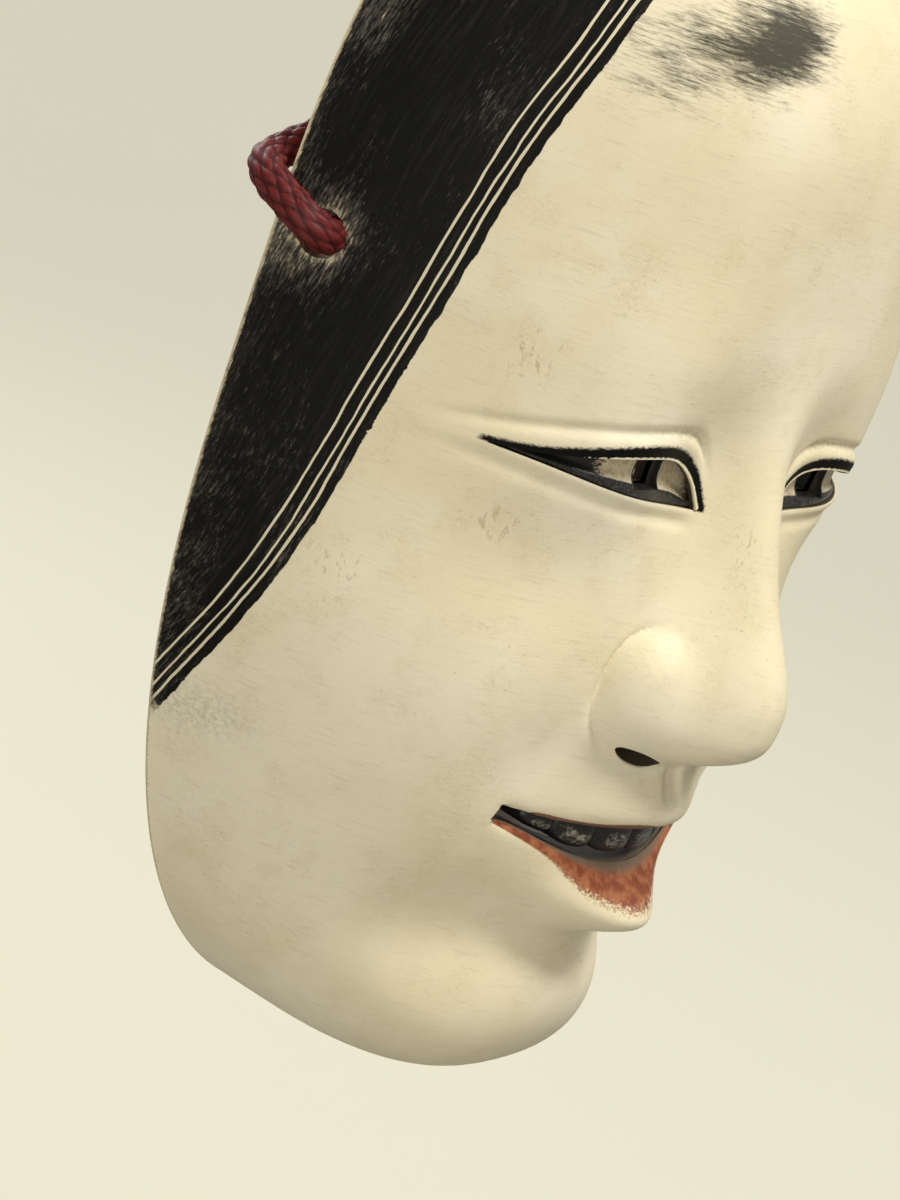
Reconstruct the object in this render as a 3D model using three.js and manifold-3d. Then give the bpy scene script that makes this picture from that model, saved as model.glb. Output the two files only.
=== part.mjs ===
// A noh mask of a young woman: a carved cypress shell, a thin white gesso face coat, a lacquer
// lining, a red braided cord knotted behind two side holes, and three soft pads for the wearer.
// Millimetres, +Z up. The face looks along -Y and its back rim lies in the plane y = 0.
// The origin is the point where the cord hangs, behind the forehead on the plane of symmetry.
import * as THREE from "three";
import { mergeVertices } from "three/addons/utils/BufferGeometryUtils.js";
import Module from "manifold-3d";

const wasm = await Module();
wasm.setup();

// ---------------------------------------------------------------- driving dimensions, mm
const MASK_HEIGHT = 212; // chin to crown
const MASK_WIDTH = 136.6; // across the cheeks
const MASK_DEPTH = 68.3; // back rim to the tip of the nose
const HANG_BELOW_CROWN = 30; // the hanging point below the crown

const COAT_THICKNESS = 1.0; // gesso on the face
const SHELL_WALL = 6.5; // wood behind the forehead and cheeks
const RIM_WIDTH = 6.2; // flat back rim of the wood
const LINING_THICKNESS = 0.6; // lacquer in the hollow
const LAYER_GAP = 0.3; // between two layers

const PUPIL_WIDTH = 7.2;
const PUPIL_HEIGHT = 5.4;
const LINING_SETBACK = 0.5; // the lining's holes are this much wider than the pupils, all round
const TEETH_SETBACK = 4.6; // the teeth behind the lips
const NOSTRIL_HEIGHT = 5;
const NOSTRIL_SPREAD = 2; // a nostril's width for its height

const CORD_DIAMETER = 5.4;
const CORD_SIDES = 10;
const BORE_CLEARANCE = 0.8; // radial, between the cord and its hole
const KNOT_DIAMETER = 12.5;
const KNOT_LENGTH = 10;

const PAD_THICKNESS = 9;
const PAD_GAP = 1.0; // between a pad and the lining it is glued to
const PAD_EDGE_SHARE = 0.25; // a pad's edge for its full thickness

// How finely the carved surfaces are cut into facets.
const COLUMNS = 24;
const ROW_STEP = [[0, 1.2], [9, 4.2], [30, 4.6], [44, 3.2], [92, 4], [104, 6], [130, 11], [196, 9.5], [212, 1.9]];

// ---------------------------------------------------------------- the carver's canon
// The face is drawn once at these proportions and stretched to the driving dimensions.
const CANON = { height: 212, width: 136.6, depth: 68.3 };
const WIDEST_AT = 112; // height of the widest point above the chin
const CORD_HOLE_AT = { x: 65.2, z: 134 };
const EYE = { inner: 11.8, outer: 49, pupil: 24.5, height: 115.6 };
const EYE_CORNER = 0.4; // how far short of its corners an eye is cut
const MOUTH_HALF_WIDTH = 28.4;
const OVAL_SHARE = 0.77; // the plain oval's depth as a share of the nose's

const clamp = (v, lo, hi) => Math.min(Math.max(v, lo), hi);

// A natural cubic through [t, value] pairs, level beyond its ends.
function spline(knots) {
  const n = knots.length;
  const t = knots.map((k) => k[0]);
  const y = knots.map((k) => k[1]);
  const bend = new Array(n).fill(0);
  const diagonal = new Array(n).fill(1);
  const right = new Array(n).fill(0);
  for (let i = 1; i < n - 1; i++) {
    const before = t[i] - t[i - 1];
    const after = t[i + 1] - t[i];
    const carried = i > 1 ? before / diagonal[i - 1] : 0;
    diagonal[i] = 2 * (before + after) - carried * before;
    right[i] = 6 * ((y[i + 1] - y[i]) / after - (y[i] - y[i - 1]) / before) - carried * right[i - 1];
  }
  for (let i = n - 2; i > 0; i--) {
    bend[i] = (right[i] - (t[i + 1] - t[i]) * bend[i + 1]) / diagonal[i];
  }
  return (at) => {
    const s = clamp(at, t[0], t[n - 1]);
    let i = 0;
    while (i < n - 2 && s > t[i + 1]) i++;
    const h = t[i + 1] - t[i];
    const a = (t[i + 1] - s) / h;
    const b = 1 - a;
    const cubic = ((a ** 3 - a) * bend[i] + (b ** 3 - b) * bend[i + 1]) * h * h / 6;
    return a * y[i] + b * y[i + 1] + cubic;
  };
}

// Half the mask's width at a height above the chin.
function halfWidth(z) {
  const below = clamp((WIDEST_AT - z) / WIDEST_AT, 0, 1);
  const above = clamp((z - WIDEST_AT) / (CANON.height - WIDEST_AT), 0, 1);
  const share = z < WIDEST_AT ? (1 - below ** 2.35) ** 0.5 : (1 - above ** 3.5) ** 0.4;
  return (CANON.width / 2) * share;
}

// Side view of the plain oval, before the features: depth on the centre line.
const frontLine = spline([[0, 50], [23, 50], [40, 49.5], [62, 50], [80, 50.5], [100, 50], [122, 50],
  [145, 51.5], [165, 52], [212, 51]]);
const CHIN_ROUND = 40;
const CROWN_ROUND_FROM = 158;
function centreDepth(z) {
  const chin = (1 - clamp(1 - z / CHIN_ROUND, 0, 1) ** 4) ** 0.39;
  const up = clamp((z - CROWN_ROUND_FROM) / (CANON.height - CROWN_ROUND_FROM), 0, 1);
  return frontLine(z) * (z < WIDEST_AT ? chin : (1 - up ** 2.5) ** 0.5);
}

// A level section is a rounded bow; these say how square and how steep it is at each height.
const squareness = spline([[0, 2.6], [12, 2.5], [30, 2.3], [60, 2.6], [100, 2.9], [140, 3], [180, 2.8],
  [212, 2.4]]);
const steepness = spline([[0, 2.3], [12, 2], [30, 1.5], [60, 1.3], [100, 1.15], [140, 1.1], [180, 1.2],
  [212, 1.5]]);
function ovalDepth(x, z) {
  const t = clamp(Math.abs(x) / Math.max(halfWidth(z), 1e-6), 0, 1);
  return centreDepth(z) * (1 - t ** squareness(z)) ** (1 / steepness(z));
}

// Curves of the eyes, nose and lips, by distance from the centre line.
const upperLid = spline([[11.8, 111], [13.2, 113.4], [15.4, 115.6], [21, 117.9], [26, 118.3], [30.4, 118],
  [35.6, 117.1], [40.5, 115.9], [44.2, 115], [49, 114.4]]);
const lowerLid = spline([[11.8, 110.5], [21, 111.1], [30, 112], [37.4, 113], [41.8, 113.6], [45.5, 114],
  [49, 114.3]]);
const noseRidge = spline([[60, 0], [67, 0.6], [70.5, 2.6], [73, 8.8], [77, 15.4], [81, 17.2], [85, 17.5],
  [89, 16.4], [96, 12.6], [103, 9.2], [110, 6.6], [118, 3.8], [127, 1.6], [142, 0]]);
const noseHalfWidth = spline([[62, 12], [71, 13], [80, 13.4], [88, 11.6], [97, 8.8], [107, 7.2], [117, 7],
  [127, 8], [142, 10]]);
const upperLipEdge = spline([[0, 58.8], [8.4, 58.6], [13.8, 58.6], [18.8, 58.8], [23.8, 59.3], [26.6, 59.7],
  [28.3, 58.9], [28.9, 57.4]]);
const lowerLipEdge = spline([[0, 51.2], [7.1, 51.6], [13.4, 53], [19.5, 55], [25, 56.7], [28.9, 57.2]]);
const teethEdge = spline([[0, 53.2], [4, 53.2], [9.2, 53.5], [13.7, 54], [17, 55.2], [21, 56.3], [26, 57.6]]);

const hill = (x, z, wide, tall) => Math.exp(-((x / wide) ** 2) - (z / tall) ** 2);

function smoothMax(a, b, radius) {
  const h = clamp(0.5 + (0.5 * (a - b)) / radius, 0, 1);
  return b * (1 - h) + a * h + radius * h * (1 - h);
}

// The jaw draws in beside the chin, in front and in the hollow behind.
const jawHollow = (x, z) => 5.4 * hill(Math.abs(x) - 25, z - 35, 13, 13);

// Depth of the carved face, in the canon, at a distance x from the centre line and a height z.
function faceDepth(x, z) {
  const side = Math.abs(x);
  let depth = ovalDepth(x, z) - jawHollow(x, z);
  depth -= 3.2 * hill(side - 17, z - 117, 11, 12); // socket beside the nose
  depth += 1.9 * hill(side - 32, z - 115, 17, 9); // the eyeball under its lids
  depth -= 1.6 * hill(side - 38, z - 97, 14, 10); // hollow below the eye
  depth += 2.2 * hill(side - 34, z - 130, 18, 13); // ridge over the eye
  depth += 1 * hill(side - 36, z - 76, 16, 16); // cheek
  depth -= 1.6 * hill(side - 27, z - 68, 8, 12); // fold beside the mouth
  depth += 1 * hill(side - 30, z - 165, 22, 22); // forehead
  depth += 3.4 * hill(x, z - 61, 17, 12); // muzzle
  depth += 2 * hill(x, z - 65.5, 11, 5.5); // under the nose
  depth -= 4.4 * hill(x, z - 35.2, 17, 5); // crease under the lip
  depth += noseRidge(z) * Math.exp(-((side / noseHalfWidth(z)) ** 2.4));
  const wing = 1 - (Math.abs(side - 10.2) / 10.8) ** 2.3 - (Math.abs(z - 82) / 11) ** 2.3;
  if (wing > 0) depth = smoothMax(depth, 46.5 + 11.6 * wing ** (1 / 2.3), 1.2);
  depth += 2.5 * hill(x, z - upperLipEdge(side) - 2.4, 14, 3.2);
  depth += 9.4 * hill(x, z - lowerLipEdge(side) + 7.6, 13, 5.4);
  depth += 1.6 * hill(x, z - 25, 16, 11); // chin
  return depth;
}

// ---------------------------------------------------------------- placing the canon in the frame
const stretch = {
  x: MASK_WIDTH / CANON.width,
  y: MASK_DEPTH / CANON.depth,
  z: MASK_HEIGHT / CANON.height,
};
const CHIN_Z = HANG_BELOW_CROWN - MASK_HEIGHT;
const place = (x, depth, z) =>
  new THREE.Vector3(x * stretch.x, -depth * stretch.y, CHIN_Z + z * stretch.z);

// Heights of the facet rows: close together where the surface turns or is finely carved.
function rowHeights() {
  const step = spline(ROW_STEP);
  const heights = [0];
  while (heights.at(-1) < CANON.height) heights.push(heights.at(-1) + step(heights.at(-1)));
  const fit = CANON.height / heights.at(-1);
  return heights.map((h) => h * fit);
}
const ROWS = rowHeights();

// Columns run from -1 on the left rim to 1 on the right one, closer together on the nose.
const columnAt = (c) => {
  const s = (2 * c) / COLUMNS - 1;
  return s * (0.7 + 0.3 * s * s);
};

// A grid of points: one row for each height, one column from rim to rim.
const grid = (pointAt) =>
  ROWS.map((z) => Array.from({ length: COLUMNS + 1 }, (_, c) => pointAt(columnAt(c), z)));

const facePoint = (u, z) => {
  const x = u * halfWidth(z);
  return place(x, Math.abs(u) < 1 ? faceDepth(x, z) : 0, z);
};

// The hollow: the plain oval drawn in from the rim, with a deeper place behind the nose.
const HOLLOW_NOSE = 11;
function hollowPoint(u, z) {
  const narrower = 1 - RIM_WIDTH / (MASK_WIDTH / 2);
  const shorter = 1 - (2 * RIM_WIDTH) / MASK_HEIGHT;
  const x = u * halfWidth(z);
  const oval = ovalDepth(x, z) - 0.9 * jawHollow(x, z);
  const nose = HOLLOW_NOSE * hill(x, z - 86, 11, 17);
  const p = place(x * narrower, oval + nose, z);
  p.y *= 1 - SHELL_WALL / MASK_DEPTH / OVAL_SHARE;
  p.z = CHIN_Z + RIM_WIDTH + (p.z - CHIN_Z) * shorter;
  return p;
}

// The grid's unit normals, facing out of the face.
function normalsOf(points) {
  const last = points.length - 1;
  return points.map((row, r) =>
    row.map((p, c) => {
      const up = points[Math.min(r + 1, last)][c].clone().sub(points[Math.max(r - 1, 0)][c]);
      const across = row[Math.min(c + 1, COLUMNS)].clone().sub(row[Math.max(c - 1, 0)]);
      const n = across.cross(up);
      if (r === 0) n.set(0, 0, -1);
      if (r === last) n.set(0, 0, 1);
      return n.normalize();
    }),
  );
}

// The same grid moved inwards by a distance. Towards the rim it slides within the plane y = 0.
function inset(points, distance) {
  const normals = normalsOf(points);
  const LEVEL_FROM = 8;
  return points.map((row, r) =>
    row.map((p, c) => {
      const move = normals[r][c].clone().negate();
      move.y *= clamp(-p.y / LEVEL_FROM, 0, 1);
      return p.clone().addScaledVector(move.normalize(), distance);
    }),
  );
}

// ---------------------------------------------------------------- solids
const MERGE = 1e-4;

function solidFrom(geometry) {
  const bare = (geometry.index ? geometry.toNonIndexed() : geometry.clone());
  bare.deleteAttribute("normal");
  bare.deleteAttribute("uv");
  const merged = mergeVertices(bare, MERGE);
  const corners = Array.from(merged.index.array);
  const kept = [];
  for (let i = 0; i < corners.length; i += 3) {
    const [a, b, c] = corners.slice(i, i + 3);
    if (a !== b && b !== c && c !== a) kept.push(a, b, c);
  }
  const vertProperties = merged.attributes.position.array;
  const triVerts = new Uint32Array(kept);
  return new wasm.Manifold(new wasm.Mesh({ numProp: 3, vertProperties, triVerts }));
}

function geometryOf(solid) {
  const mesh = solid.getMesh();
  const geometry = new THREE.BufferGeometry();
  geometry.setAttribute("position", new THREE.BufferAttribute(new Float32Array(mesh.vertProperties), 3));
  geometry.setIndex(new THREE.BufferAttribute(mesh.triVerts, 1));
  const flat = geometry.toNonIndexed();
  flat.computeVertexNormals();
  return flat;
}

// The closed layer between two grids that share their rows and columns.
function layerBetween(front, back) {
  const corners = [];
  const quad = (a, b, c, d) => corners.push(a, b, c, a, c, d);
  const face = (turned, a, b, c, d) => (turned ? corners.push(a, c, b, a, d, c) : quad(a, b, c, d));
  for (let r = 0; r < front.length - 1; r++) {
    const last = front[r].length - 1;
    for (let c = 0; c < last; c++) {
      // the facets of the right half mirror those of the left
      const [near, far] = c < last / 2 ? [c, c + 1] : [c + 1, c];
      const flip = near > far;
      face(flip, front[r][near], front[r][far], front[r + 1][far], front[r + 1][near]);
      face(!flip, back[r][near], back[r][far], back[r + 1][far], back[r + 1][near]);
    }
    quad(back[r][0], front[r][0], front[r + 1][0], back[r + 1][0]);
    quad(front[r][last], back[r][last], back[r + 1][last], front[r + 1][last]);
  }
  const top = front.length - 1;
  for (let c = 0; c < front[0].length - 1; c++) {
    quad(back[0][c], back[0][c + 1], front[0][c + 1], front[0][c]);
    quad(front[top][c], front[top][c + 1], back[top][c + 1], back[top][c]);
  }
  return solidFrom(new THREE.BufferGeometry().setFromPoints(corners));
}

// A prism along Y through an outline of [x, z] points in the frame, between two depths.
function prism(outline, fromDepth, toDepth) {
  const shape = new THREE.Shape(outline.map(([x, z]) => new THREE.Vector2(x, z)));
  const block = new THREE.ExtrudeGeometry(shape, { depth: toDepth - fromDepth, bevelEnabled: false });
  block.rotateX(Math.PI / 2).translate(0, -fromDepth, 0);
  return solidFrom(block);
}

// A rod between two points, spread sideways by a factor.
function rodBetween(from, to, diameter, spread = 1) {
  const along = to.clone().sub(from);
  const rod = new THREE.CylinderGeometry(diameter / 2, diameter / 2, along.length(), 16);
  rod.scale(spread, 1, 1);
  const turn = new THREE.Quaternion().setFromUnitVectors(new THREE.Vector3(0, 1, 0), along.clone().normalize());
  const middle = from.clone().add(to).multiplyScalar(0.5);
  rod.applyQuaternion(turn).translate(middle.x, middle.y, middle.z);
  return solidFrom(rod);
}

const cut = (solid, cutters) => cutters.reduce((left, cutter) => left.subtract(cutter), solid);

// An outline between two curves of the canon, from one end to the other and back.
function lensOutline(lower, upper, from, to, steps) {
  const at = (i) => from + ((to - from) * i) / steps;
  const point = (x, z) => [x * stretch.x, CHIN_Z + z * stretch.z];
  const below = Array.from({ length: steps + 1 }, (_, i) => point(at(i), lower(Math.abs(at(i)))));
  const above = Array.from({ length: steps - 1 }, (_, i) => {
    const x = at(steps - 1 - i);
    return point(x, upper(Math.abs(x)));
  });
  return below.concat(above);
}

// ---------------------------------------------------------------- openings cut through the layers
const THROUGH = MASK_DEPTH + 20;
const sides = [["left", -1], ["right", 1]];

const eyeWindows = sides.map(([, side]) =>
  prism(lensOutline(lowerLid, upperLid, (side < 0 ? -EYE.outer : EYE.inner) + EYE_CORNER,
    (side < 0 ? -EYE.inner : EYE.outer) - EYE_CORNER, 14), 0, THROUGH));

function pupilHoles(extra) {
  return sides.map(([, side]) => {
    const x = side * EYE.pupil * stretch.x;
    const z = CHIN_Z + EYE.height * stretch.z;
    const a = PUPIL_WIDTH / 2 + extra;
    const b = PUPIL_HEIGHT / 2 + extra;
    return prism([[x - a, z - b], [x + a, z - b], [x + a, z + b], [x - a, z + b]], 0, THROUGH);
  });
}

const lipsOutline = lensOutline(lowerLipEdge, upperLipEdge, -MOUTH_HALF_WIDTH, MOUTH_HALF_WIDTH, 16);
const slitOutline = lensOutline(lowerLipEdge, teethEdge, -MOUTH_HALF_WIDTH + 1, MOUTH_HALF_WIDTH - 1, 16);
const mouthWindow = prism(lipsOutline, 0, THROUGH);
const lipDepth = faceDepth(0, upperLipEdge(0)) * stretch.y;
const mouthFront = prism(lipsOutline, lipDepth - TEETH_SETBACK, THROUGH);
const mouthSlit = prism(slitOutline, 0, THROUGH);

// A nostril runs up and back from under the tip into the hollow behind the nose.
const nostrils = sides.map(([, side]) =>
  rodBetween(place(side * 12.2, 58.5, 66.5), place(side * 8.4, 46.4, 86), NOSTRIL_HEIGHT, NOSTRIL_SPREAD));

// A cord hole is square to the side of the mask.
const holeOuter = (side) => {
  const x = side * CORD_HOLE_AT.x;
  return place(x, faceDepth(x, CORD_HOLE_AT.z), CORD_HOLE_AT.z);
};
const HOLE_SLANT = 0.42; // how far the hole leans to the front for each unit sideways
const holeOut = (side) => new THREE.Vector3(side, -HOLE_SLANT, 0).normalize();
const boreDiameter = CORD_DIAMETER + 2 * BORE_CLEARANCE;
const cordBores = sides.map(([, side]) => {
  const middle = holeOuter(side);
  const reach = RIM_WIDTH + SHELL_WALL;
  return rodBetween(
    middle.clone().addScaledVector(holeOut(side), -reach),
    middle.clone().addScaledVector(holeOut(side), reach), boreDiameter);
});

// ---------------------------------------------------------------- the layers of the mask
const faceGrid = grid(facePoint);
const hollowGrid = grid(hollowPoint);

const faceCoat = cut(layerBetween(faceGrid, inset(faceGrid, COAT_THICKNESS)),
  [...eyeWindows, mouthWindow, ...nostrils, ...cordBores]);

const woodShell = cut(layerBetween(inset(faceGrid, COAT_THICKNESS + LAYER_GAP), hollowGrid),
  [...pupilHoles(0), mouthFront, mouthSlit, ...nostrils, ...cordBores]);

const lining = cut(
  layerBetween(inset(hollowGrid, LAYER_GAP), inset(hollowGrid, LAYER_GAP + LINING_THICKNESS)),
  [...pupilHoles(LINING_SETBACK), mouthSlit, ...nostrils, ...cordBores]);

// ---------------------------------------------------------------- pads
// A pad is glued to the lining: from u0 to u1 across and z0 to z1 up, crowned to its thickness.
const PADS = {
  forehead_pad: [-0.34, 0.34, 176, 192],
  cheek_pad_left: [-0.74, -0.5, 64, 92],
  cheek_pad_right: [0.5, 0.74, 64, 92],
};
const PAD_COLUMNS = 8;
const PAD_ROWS = 6;

function padSolid([u0, u1, z0, z1]) {
  const bed = LAYER_GAP + LINING_THICKNESS + PAD_GAP;
  const outward = (u, z) => {
    const step = 0.01;
    const across = hollowPoint(u + step, z).sub(hollowPoint(u - step, z));
    const up = hollowPoint(u, z + 1).sub(hollowPoint(u, z - 1));
    return across.cross(up).normalize();
  };
  const layer = (height) =>
    Array.from({ length: PAD_ROWS + 1 }, (_, r) =>
      Array.from({ length: PAD_COLUMNS + 1 }, (_, c) => {
        const a = (2 * c) / PAD_COLUMNS - 1;
        const b = (2 * r) / PAD_ROWS - 1;
        // rounded corners, in the pad's own square
        const p = a * Math.sqrt(1 - (b * b) / 3);
        const q = b * Math.sqrt(1 - (a * a) / 3);
        const u = (u0 + u1) / 2 + (p * (u1 - u0)) / 2;
        const z = (z0 + z1) / 2 + (q * (z1 - z0)) / 2;
        const crown = PAD_EDGE_SHARE + (1 - PAD_EDGE_SHARE) * Math.sqrt(Math.max(0, 1 - Math.max(a * a, b * b)));
        const lift = bed + height * crown;
        return hollowPoint(u, z).addScaledVector(outward(u, z), -lift);
      }));
  return layerBetween(layer(0), layer(PAD_THICKNESS));
}

// ---------------------------------------------------------------- the cord
// One side's route from its knot to the hanging point, for the right-hand side.
const knotCentre = (side) => {
  const wallCrossing = RIM_WIDTH + LAYER_GAP + LINING_THICKNESS;
  return holeOuter(side).addScaledVector(holeOut(side), -(wallCrossing + KNOT_LENGTH / 2 + 1));
};
const HOLE_Z = CHIN_Z + CORD_HOLE_AT.z * stretch.z;
const RIM_X = halfWidth(CORD_HOLE_AT.z) * stretch.x;
const BORE_RUN = 4.5; // how far the cord runs straight in its hole
const CORD_SIDE_ROUTE = [
  [RIM_X - 0.36, -8.7, HOLE_Z + 0.4],
  [RIM_X + 2.04, -7.6, HOLE_Z + 1.6],
  [RIM_X + 3.04, -4.1, HOLE_Z + 3.3],
  [RIM_X + 3.34, -0.3, HOLE_Z + 5],
  [RIM_X + 1.74, 3.1, HOLE_Z + 6.6],
  [RIM_X - 1.86, 4.5, HOLE_Z + 8.2],
  [RIM_X - 8.16, 4.4, HOLE_Z + 11.4],
  [RIM_X - 20.16, 3.5, HOLE_Z + 18.7],
  [RIM_X - 37.16, 2.3, HOLE_Z + 29],
  [13, 1, -8],
  [5, 0.3, -2.6],
];

function cordPoints() {
  const toHook = (side) => {
    const start = knotCentre(side).addScaledVector(holeOut(side), KNOT_LENGTH / 2 + LAYER_GAP);
    const bore = [start, start.clone().addScaledVector(holeOut(side), BORE_RUN)];
    return bore.concat(CORD_SIDE_ROUTE.map(([x, y, z]) => new THREE.Vector3(side * x, y, z)));
  };
  return [...toHook(-1), new THREE.Vector3(0, 0, 0), ...toHook(1).reverse()];
}

function cordSolid() {
  const path = new THREE.CatmullRomCurve3(cordPoints(), false, "centripetal");
  const section = new THREE.Shape(Array.from({ length: CORD_SIDES }, (_, i) => {
    const turn = (2 * Math.PI * i) / CORD_SIDES;
    return new THREE.Vector2(Math.cos(turn), Math.sin(turn)).multiplyScalar(CORD_DIAMETER / 2);
  }));
  const steps = Math.ceil(path.getLength() / CORD_DIAMETER / 0.5);
  return new THREE.ExtrudeGeometry(section, { steps, extrudePath: path, bevelEnabled: false });
}

function knotSolid(side) {
  const knot = new THREE.SphereGeometry(0.5, 12, 8);
  knot.scale(KNOT_DIAMETER, KNOT_LENGTH, KNOT_DIAMETER);
  const turn = new THREE.Quaternion().setFromUnitVectors(new THREE.Vector3(0, 1, 0), holeOut(side));
  const at = knotCentre(side);
  knot.applyQuaternion(turn).translate(at.x, at.y, at.z);
  return knot;
}

// ---------------------------------------------------------------- the assembly
const finish = (colour, roughness) =>
  new THREE.MeshStandardMaterial({ color: colour, roughness, metalness: 0 });

const gesso = finish(0xe9dfc0, 0.5);
const cypress = finish(0x8d6a45, 0.7);
const lacquer = finish(0x2c1a12, 0.3);
const silk = finish(0x7d1420, 0.45);
const cotton = finish(0xd9cfb8, 0.85);

const noh_mask = new THREE.Group();

function add(name, geometry, material) {
  const mesh = new THREE.Mesh(geometry, material);
  mesh.name = name;
  noh_mask.add(mesh);
}

add("face_coat", geometryOf(faceCoat), gesso);
add("wood_shell", geometryOf(woodShell), cypress);
add("lacquer_lining", geometryOf(lining), lacquer);
add("hanging_cord", cordSolid(), silk);
for (const [name, side] of sides) add(`cord_knot_${name}`, knotSolid(side), silk);
for (const [name, patch] of Object.entries(PADS)) add(name, geometryOf(padSolid(patch)), cotton);

export default noh_mask;
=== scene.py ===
"""The looks of a noh mask of a young woman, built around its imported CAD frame.

Metres in Blender. The carved surface is drawn in the carver's canon, in millimetres: x from the plane of
symmetry, z up from the chin and depth forward of the back rim. canon_to_frame() places it in the frame.
"""
import math

import bmesh
import bpy
import numpy as np
from mathutils import Matrix, Vector
from mathutils.kdtree import KDTree


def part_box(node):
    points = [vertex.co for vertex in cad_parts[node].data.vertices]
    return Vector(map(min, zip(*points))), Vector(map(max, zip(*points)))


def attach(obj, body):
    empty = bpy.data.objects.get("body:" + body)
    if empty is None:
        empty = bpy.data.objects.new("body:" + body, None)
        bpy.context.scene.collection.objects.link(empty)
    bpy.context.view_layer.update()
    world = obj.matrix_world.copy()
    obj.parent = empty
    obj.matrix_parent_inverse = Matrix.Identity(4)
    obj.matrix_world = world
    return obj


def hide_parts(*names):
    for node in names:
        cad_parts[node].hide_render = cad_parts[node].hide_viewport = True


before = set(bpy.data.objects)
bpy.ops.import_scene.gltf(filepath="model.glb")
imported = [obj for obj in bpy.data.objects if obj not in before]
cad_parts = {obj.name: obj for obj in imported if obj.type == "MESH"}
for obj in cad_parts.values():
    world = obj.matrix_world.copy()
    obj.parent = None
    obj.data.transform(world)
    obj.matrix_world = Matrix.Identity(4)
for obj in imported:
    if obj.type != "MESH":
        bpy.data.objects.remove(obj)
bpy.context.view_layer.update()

COAT_LOW, COAT_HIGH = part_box("face_coat")
MM = 0.001

# ------------------------------------------------------------------ the carver's canon, mm
HEIGHT, WIDTH, DEPTH = 212.0, 136.6, 68.3
WIDEST_AT = 112.0
COAT_THICKNESS = 1.2
LAYER_GAP = 0.3
SHELL_WALL = 6.5
RIM_WIDTH = 6.2
LINING_THICKNESS = 0.7
HOLLOW_NOSE = 11.0
CORD_HOLE_X, CORD_HOLE_Z = 65.2, 134.0
HOLE_SLANT = 0.42
BORE_DIAMETER = 7.0
PUPIL_X, PUPIL_Z, PUPIL_WIDTH, PUPIL_HEIGHT = 24.5, 115.6, 7.2, 5.4
EYE_INNER, EYE_OUTER = 11.8, 49.0
MOUTH_CORNER = 28.9
TEETH_SETBACK = 3.4
CORD_DIAMETER = 5.4
HOLLOW_NARROWER = 1 - RIM_WIDTH / (WIDTH / 2)
HOLLOW_SHORTER = 1 - 2 * RIM_WIDTH / HEIGHT


def spline(knots):
    """A natural cubic through (t, value) pairs, level beyond its ends, for arrays."""
    t, y = np.array(knots, float).T
    n = len(t)
    gap = np.diff(t)
    system = np.eye(n)
    right = np.zeros(n)
    for i in range(1, n - 1):
        system[i, i - 1:i + 2] = gap[i - 1], 2 * (gap[i - 1] + gap[i]), gap[i]
        right[i] = 6 * ((y[i + 1] - y[i]) / gap[i] - (y[i] - y[i - 1]) / gap[i - 1])
    bend = np.linalg.solve(system, right)

    def at(value):
        s = np.clip(value, t[0], t[-1])
        i = np.clip(np.searchsorted(t, s, side="right") - 1, 0, n - 2)
        h = gap[i]
        a = (t[i + 1] - s) / h
        b = 1 - a
        cubic = ((a ** 3 - a) * bend[i] + (b ** 3 - b) * bend[i + 1]) * h * h / 6
        return a * y[i] + b * y[i + 1] + cubic

    return at


def hill(x, z, wide, tall, power=2):
    """1 at the middle of a soft form, falling away over its reach sideways and upwards."""
    return np.exp(-np.abs(x / wide) ** power - np.abs(z / tall) ** power)


def ramp(value, start, end):
    """0 at start, 1 at end, smooth between."""
    s = np.clip((value - start) / (end - start), 0, 1)
    return s * s * (3 - 2 * s)


def smooth_max(a, b, radius):
    """The larger of two surfaces, with a fillet where they meet."""
    h = np.clip(0.5 + 0.5 * (a - b) / radius, 0, 1)
    return b * (1 - h) + a * h + radius * h * (1 - h)


def half_width(z):
    """Half the width of the back rim at this height."""
    below = np.clip((WIDEST_AT - z) / WIDEST_AT, 0, 1)
    above = np.clip((z - WIDEST_AT) / (HEIGHT - WIDEST_AT), 0, 1)
    return WIDTH / 2 * np.where(z < WIDEST_AT, (1 - below ** 2.35) ** 0.5, (1 - above ** 3.5) ** 0.4)


front_line = spline([(0, 50), (23, 50), (40, 49.5), (62, 50), (80, 50.5), (100, 50), (122, 50),
                     (145, 51.5), (165, 52), (212, 51)])
squareness = spline([(0, 2.6), (12, 2.5), (30, 2.3), (60, 2.6), (100, 2.9), (140, 3), (180, 2.8),
                     (212, 2.4)])
steepness = spline([(0, 2.3), (12, 2.0), (30, 1.5), (60, 1.3), (100, 1.15), (140, 1.1), (180, 1.2),
                    (212, 1.5)])
nose_ridge = spline([(60, 0), (67, 0.6), (70.5, 2.6), (73, 8.8), (77, 15.4), (81, 17.2), (85, 17.5),
                     (89, 16.4), (96, 12.6), (103, 9.2), (110, 6.6), (118, 3.8), (127, 1.6), (142, 0)])
nose_half_width = spline([(62, 12), (71, 13), (80, 13.4), (88, 11.6), (97, 8.8), (107, 7.2), (117, 7),
                          (127, 8), (142, 10)])
upper_lid = spline([(11.8, 111), (13.2, 113.4), (15.4, 115.6), (21, 117.9), (26, 118.3), (30.4, 118),
                    (35.6, 117.1), (40.5, 115.9), (44.2, 115), (49, 114.4)])
lower_lid = spline([(11.8, 110.5), (21, 111.1), (30, 112), (37.4, 113), (41.8, 113.6), (45.5, 114),
                    (49, 114.3)])
lid_crease = spline([(10.8, 115.2), (13.9, 119.6), (19.5, 122.4), (26.7, 122.4), (35.8, 121.1),
                     (41.8, 119.7), (46.7, 118.3), (56, 116)])
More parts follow.
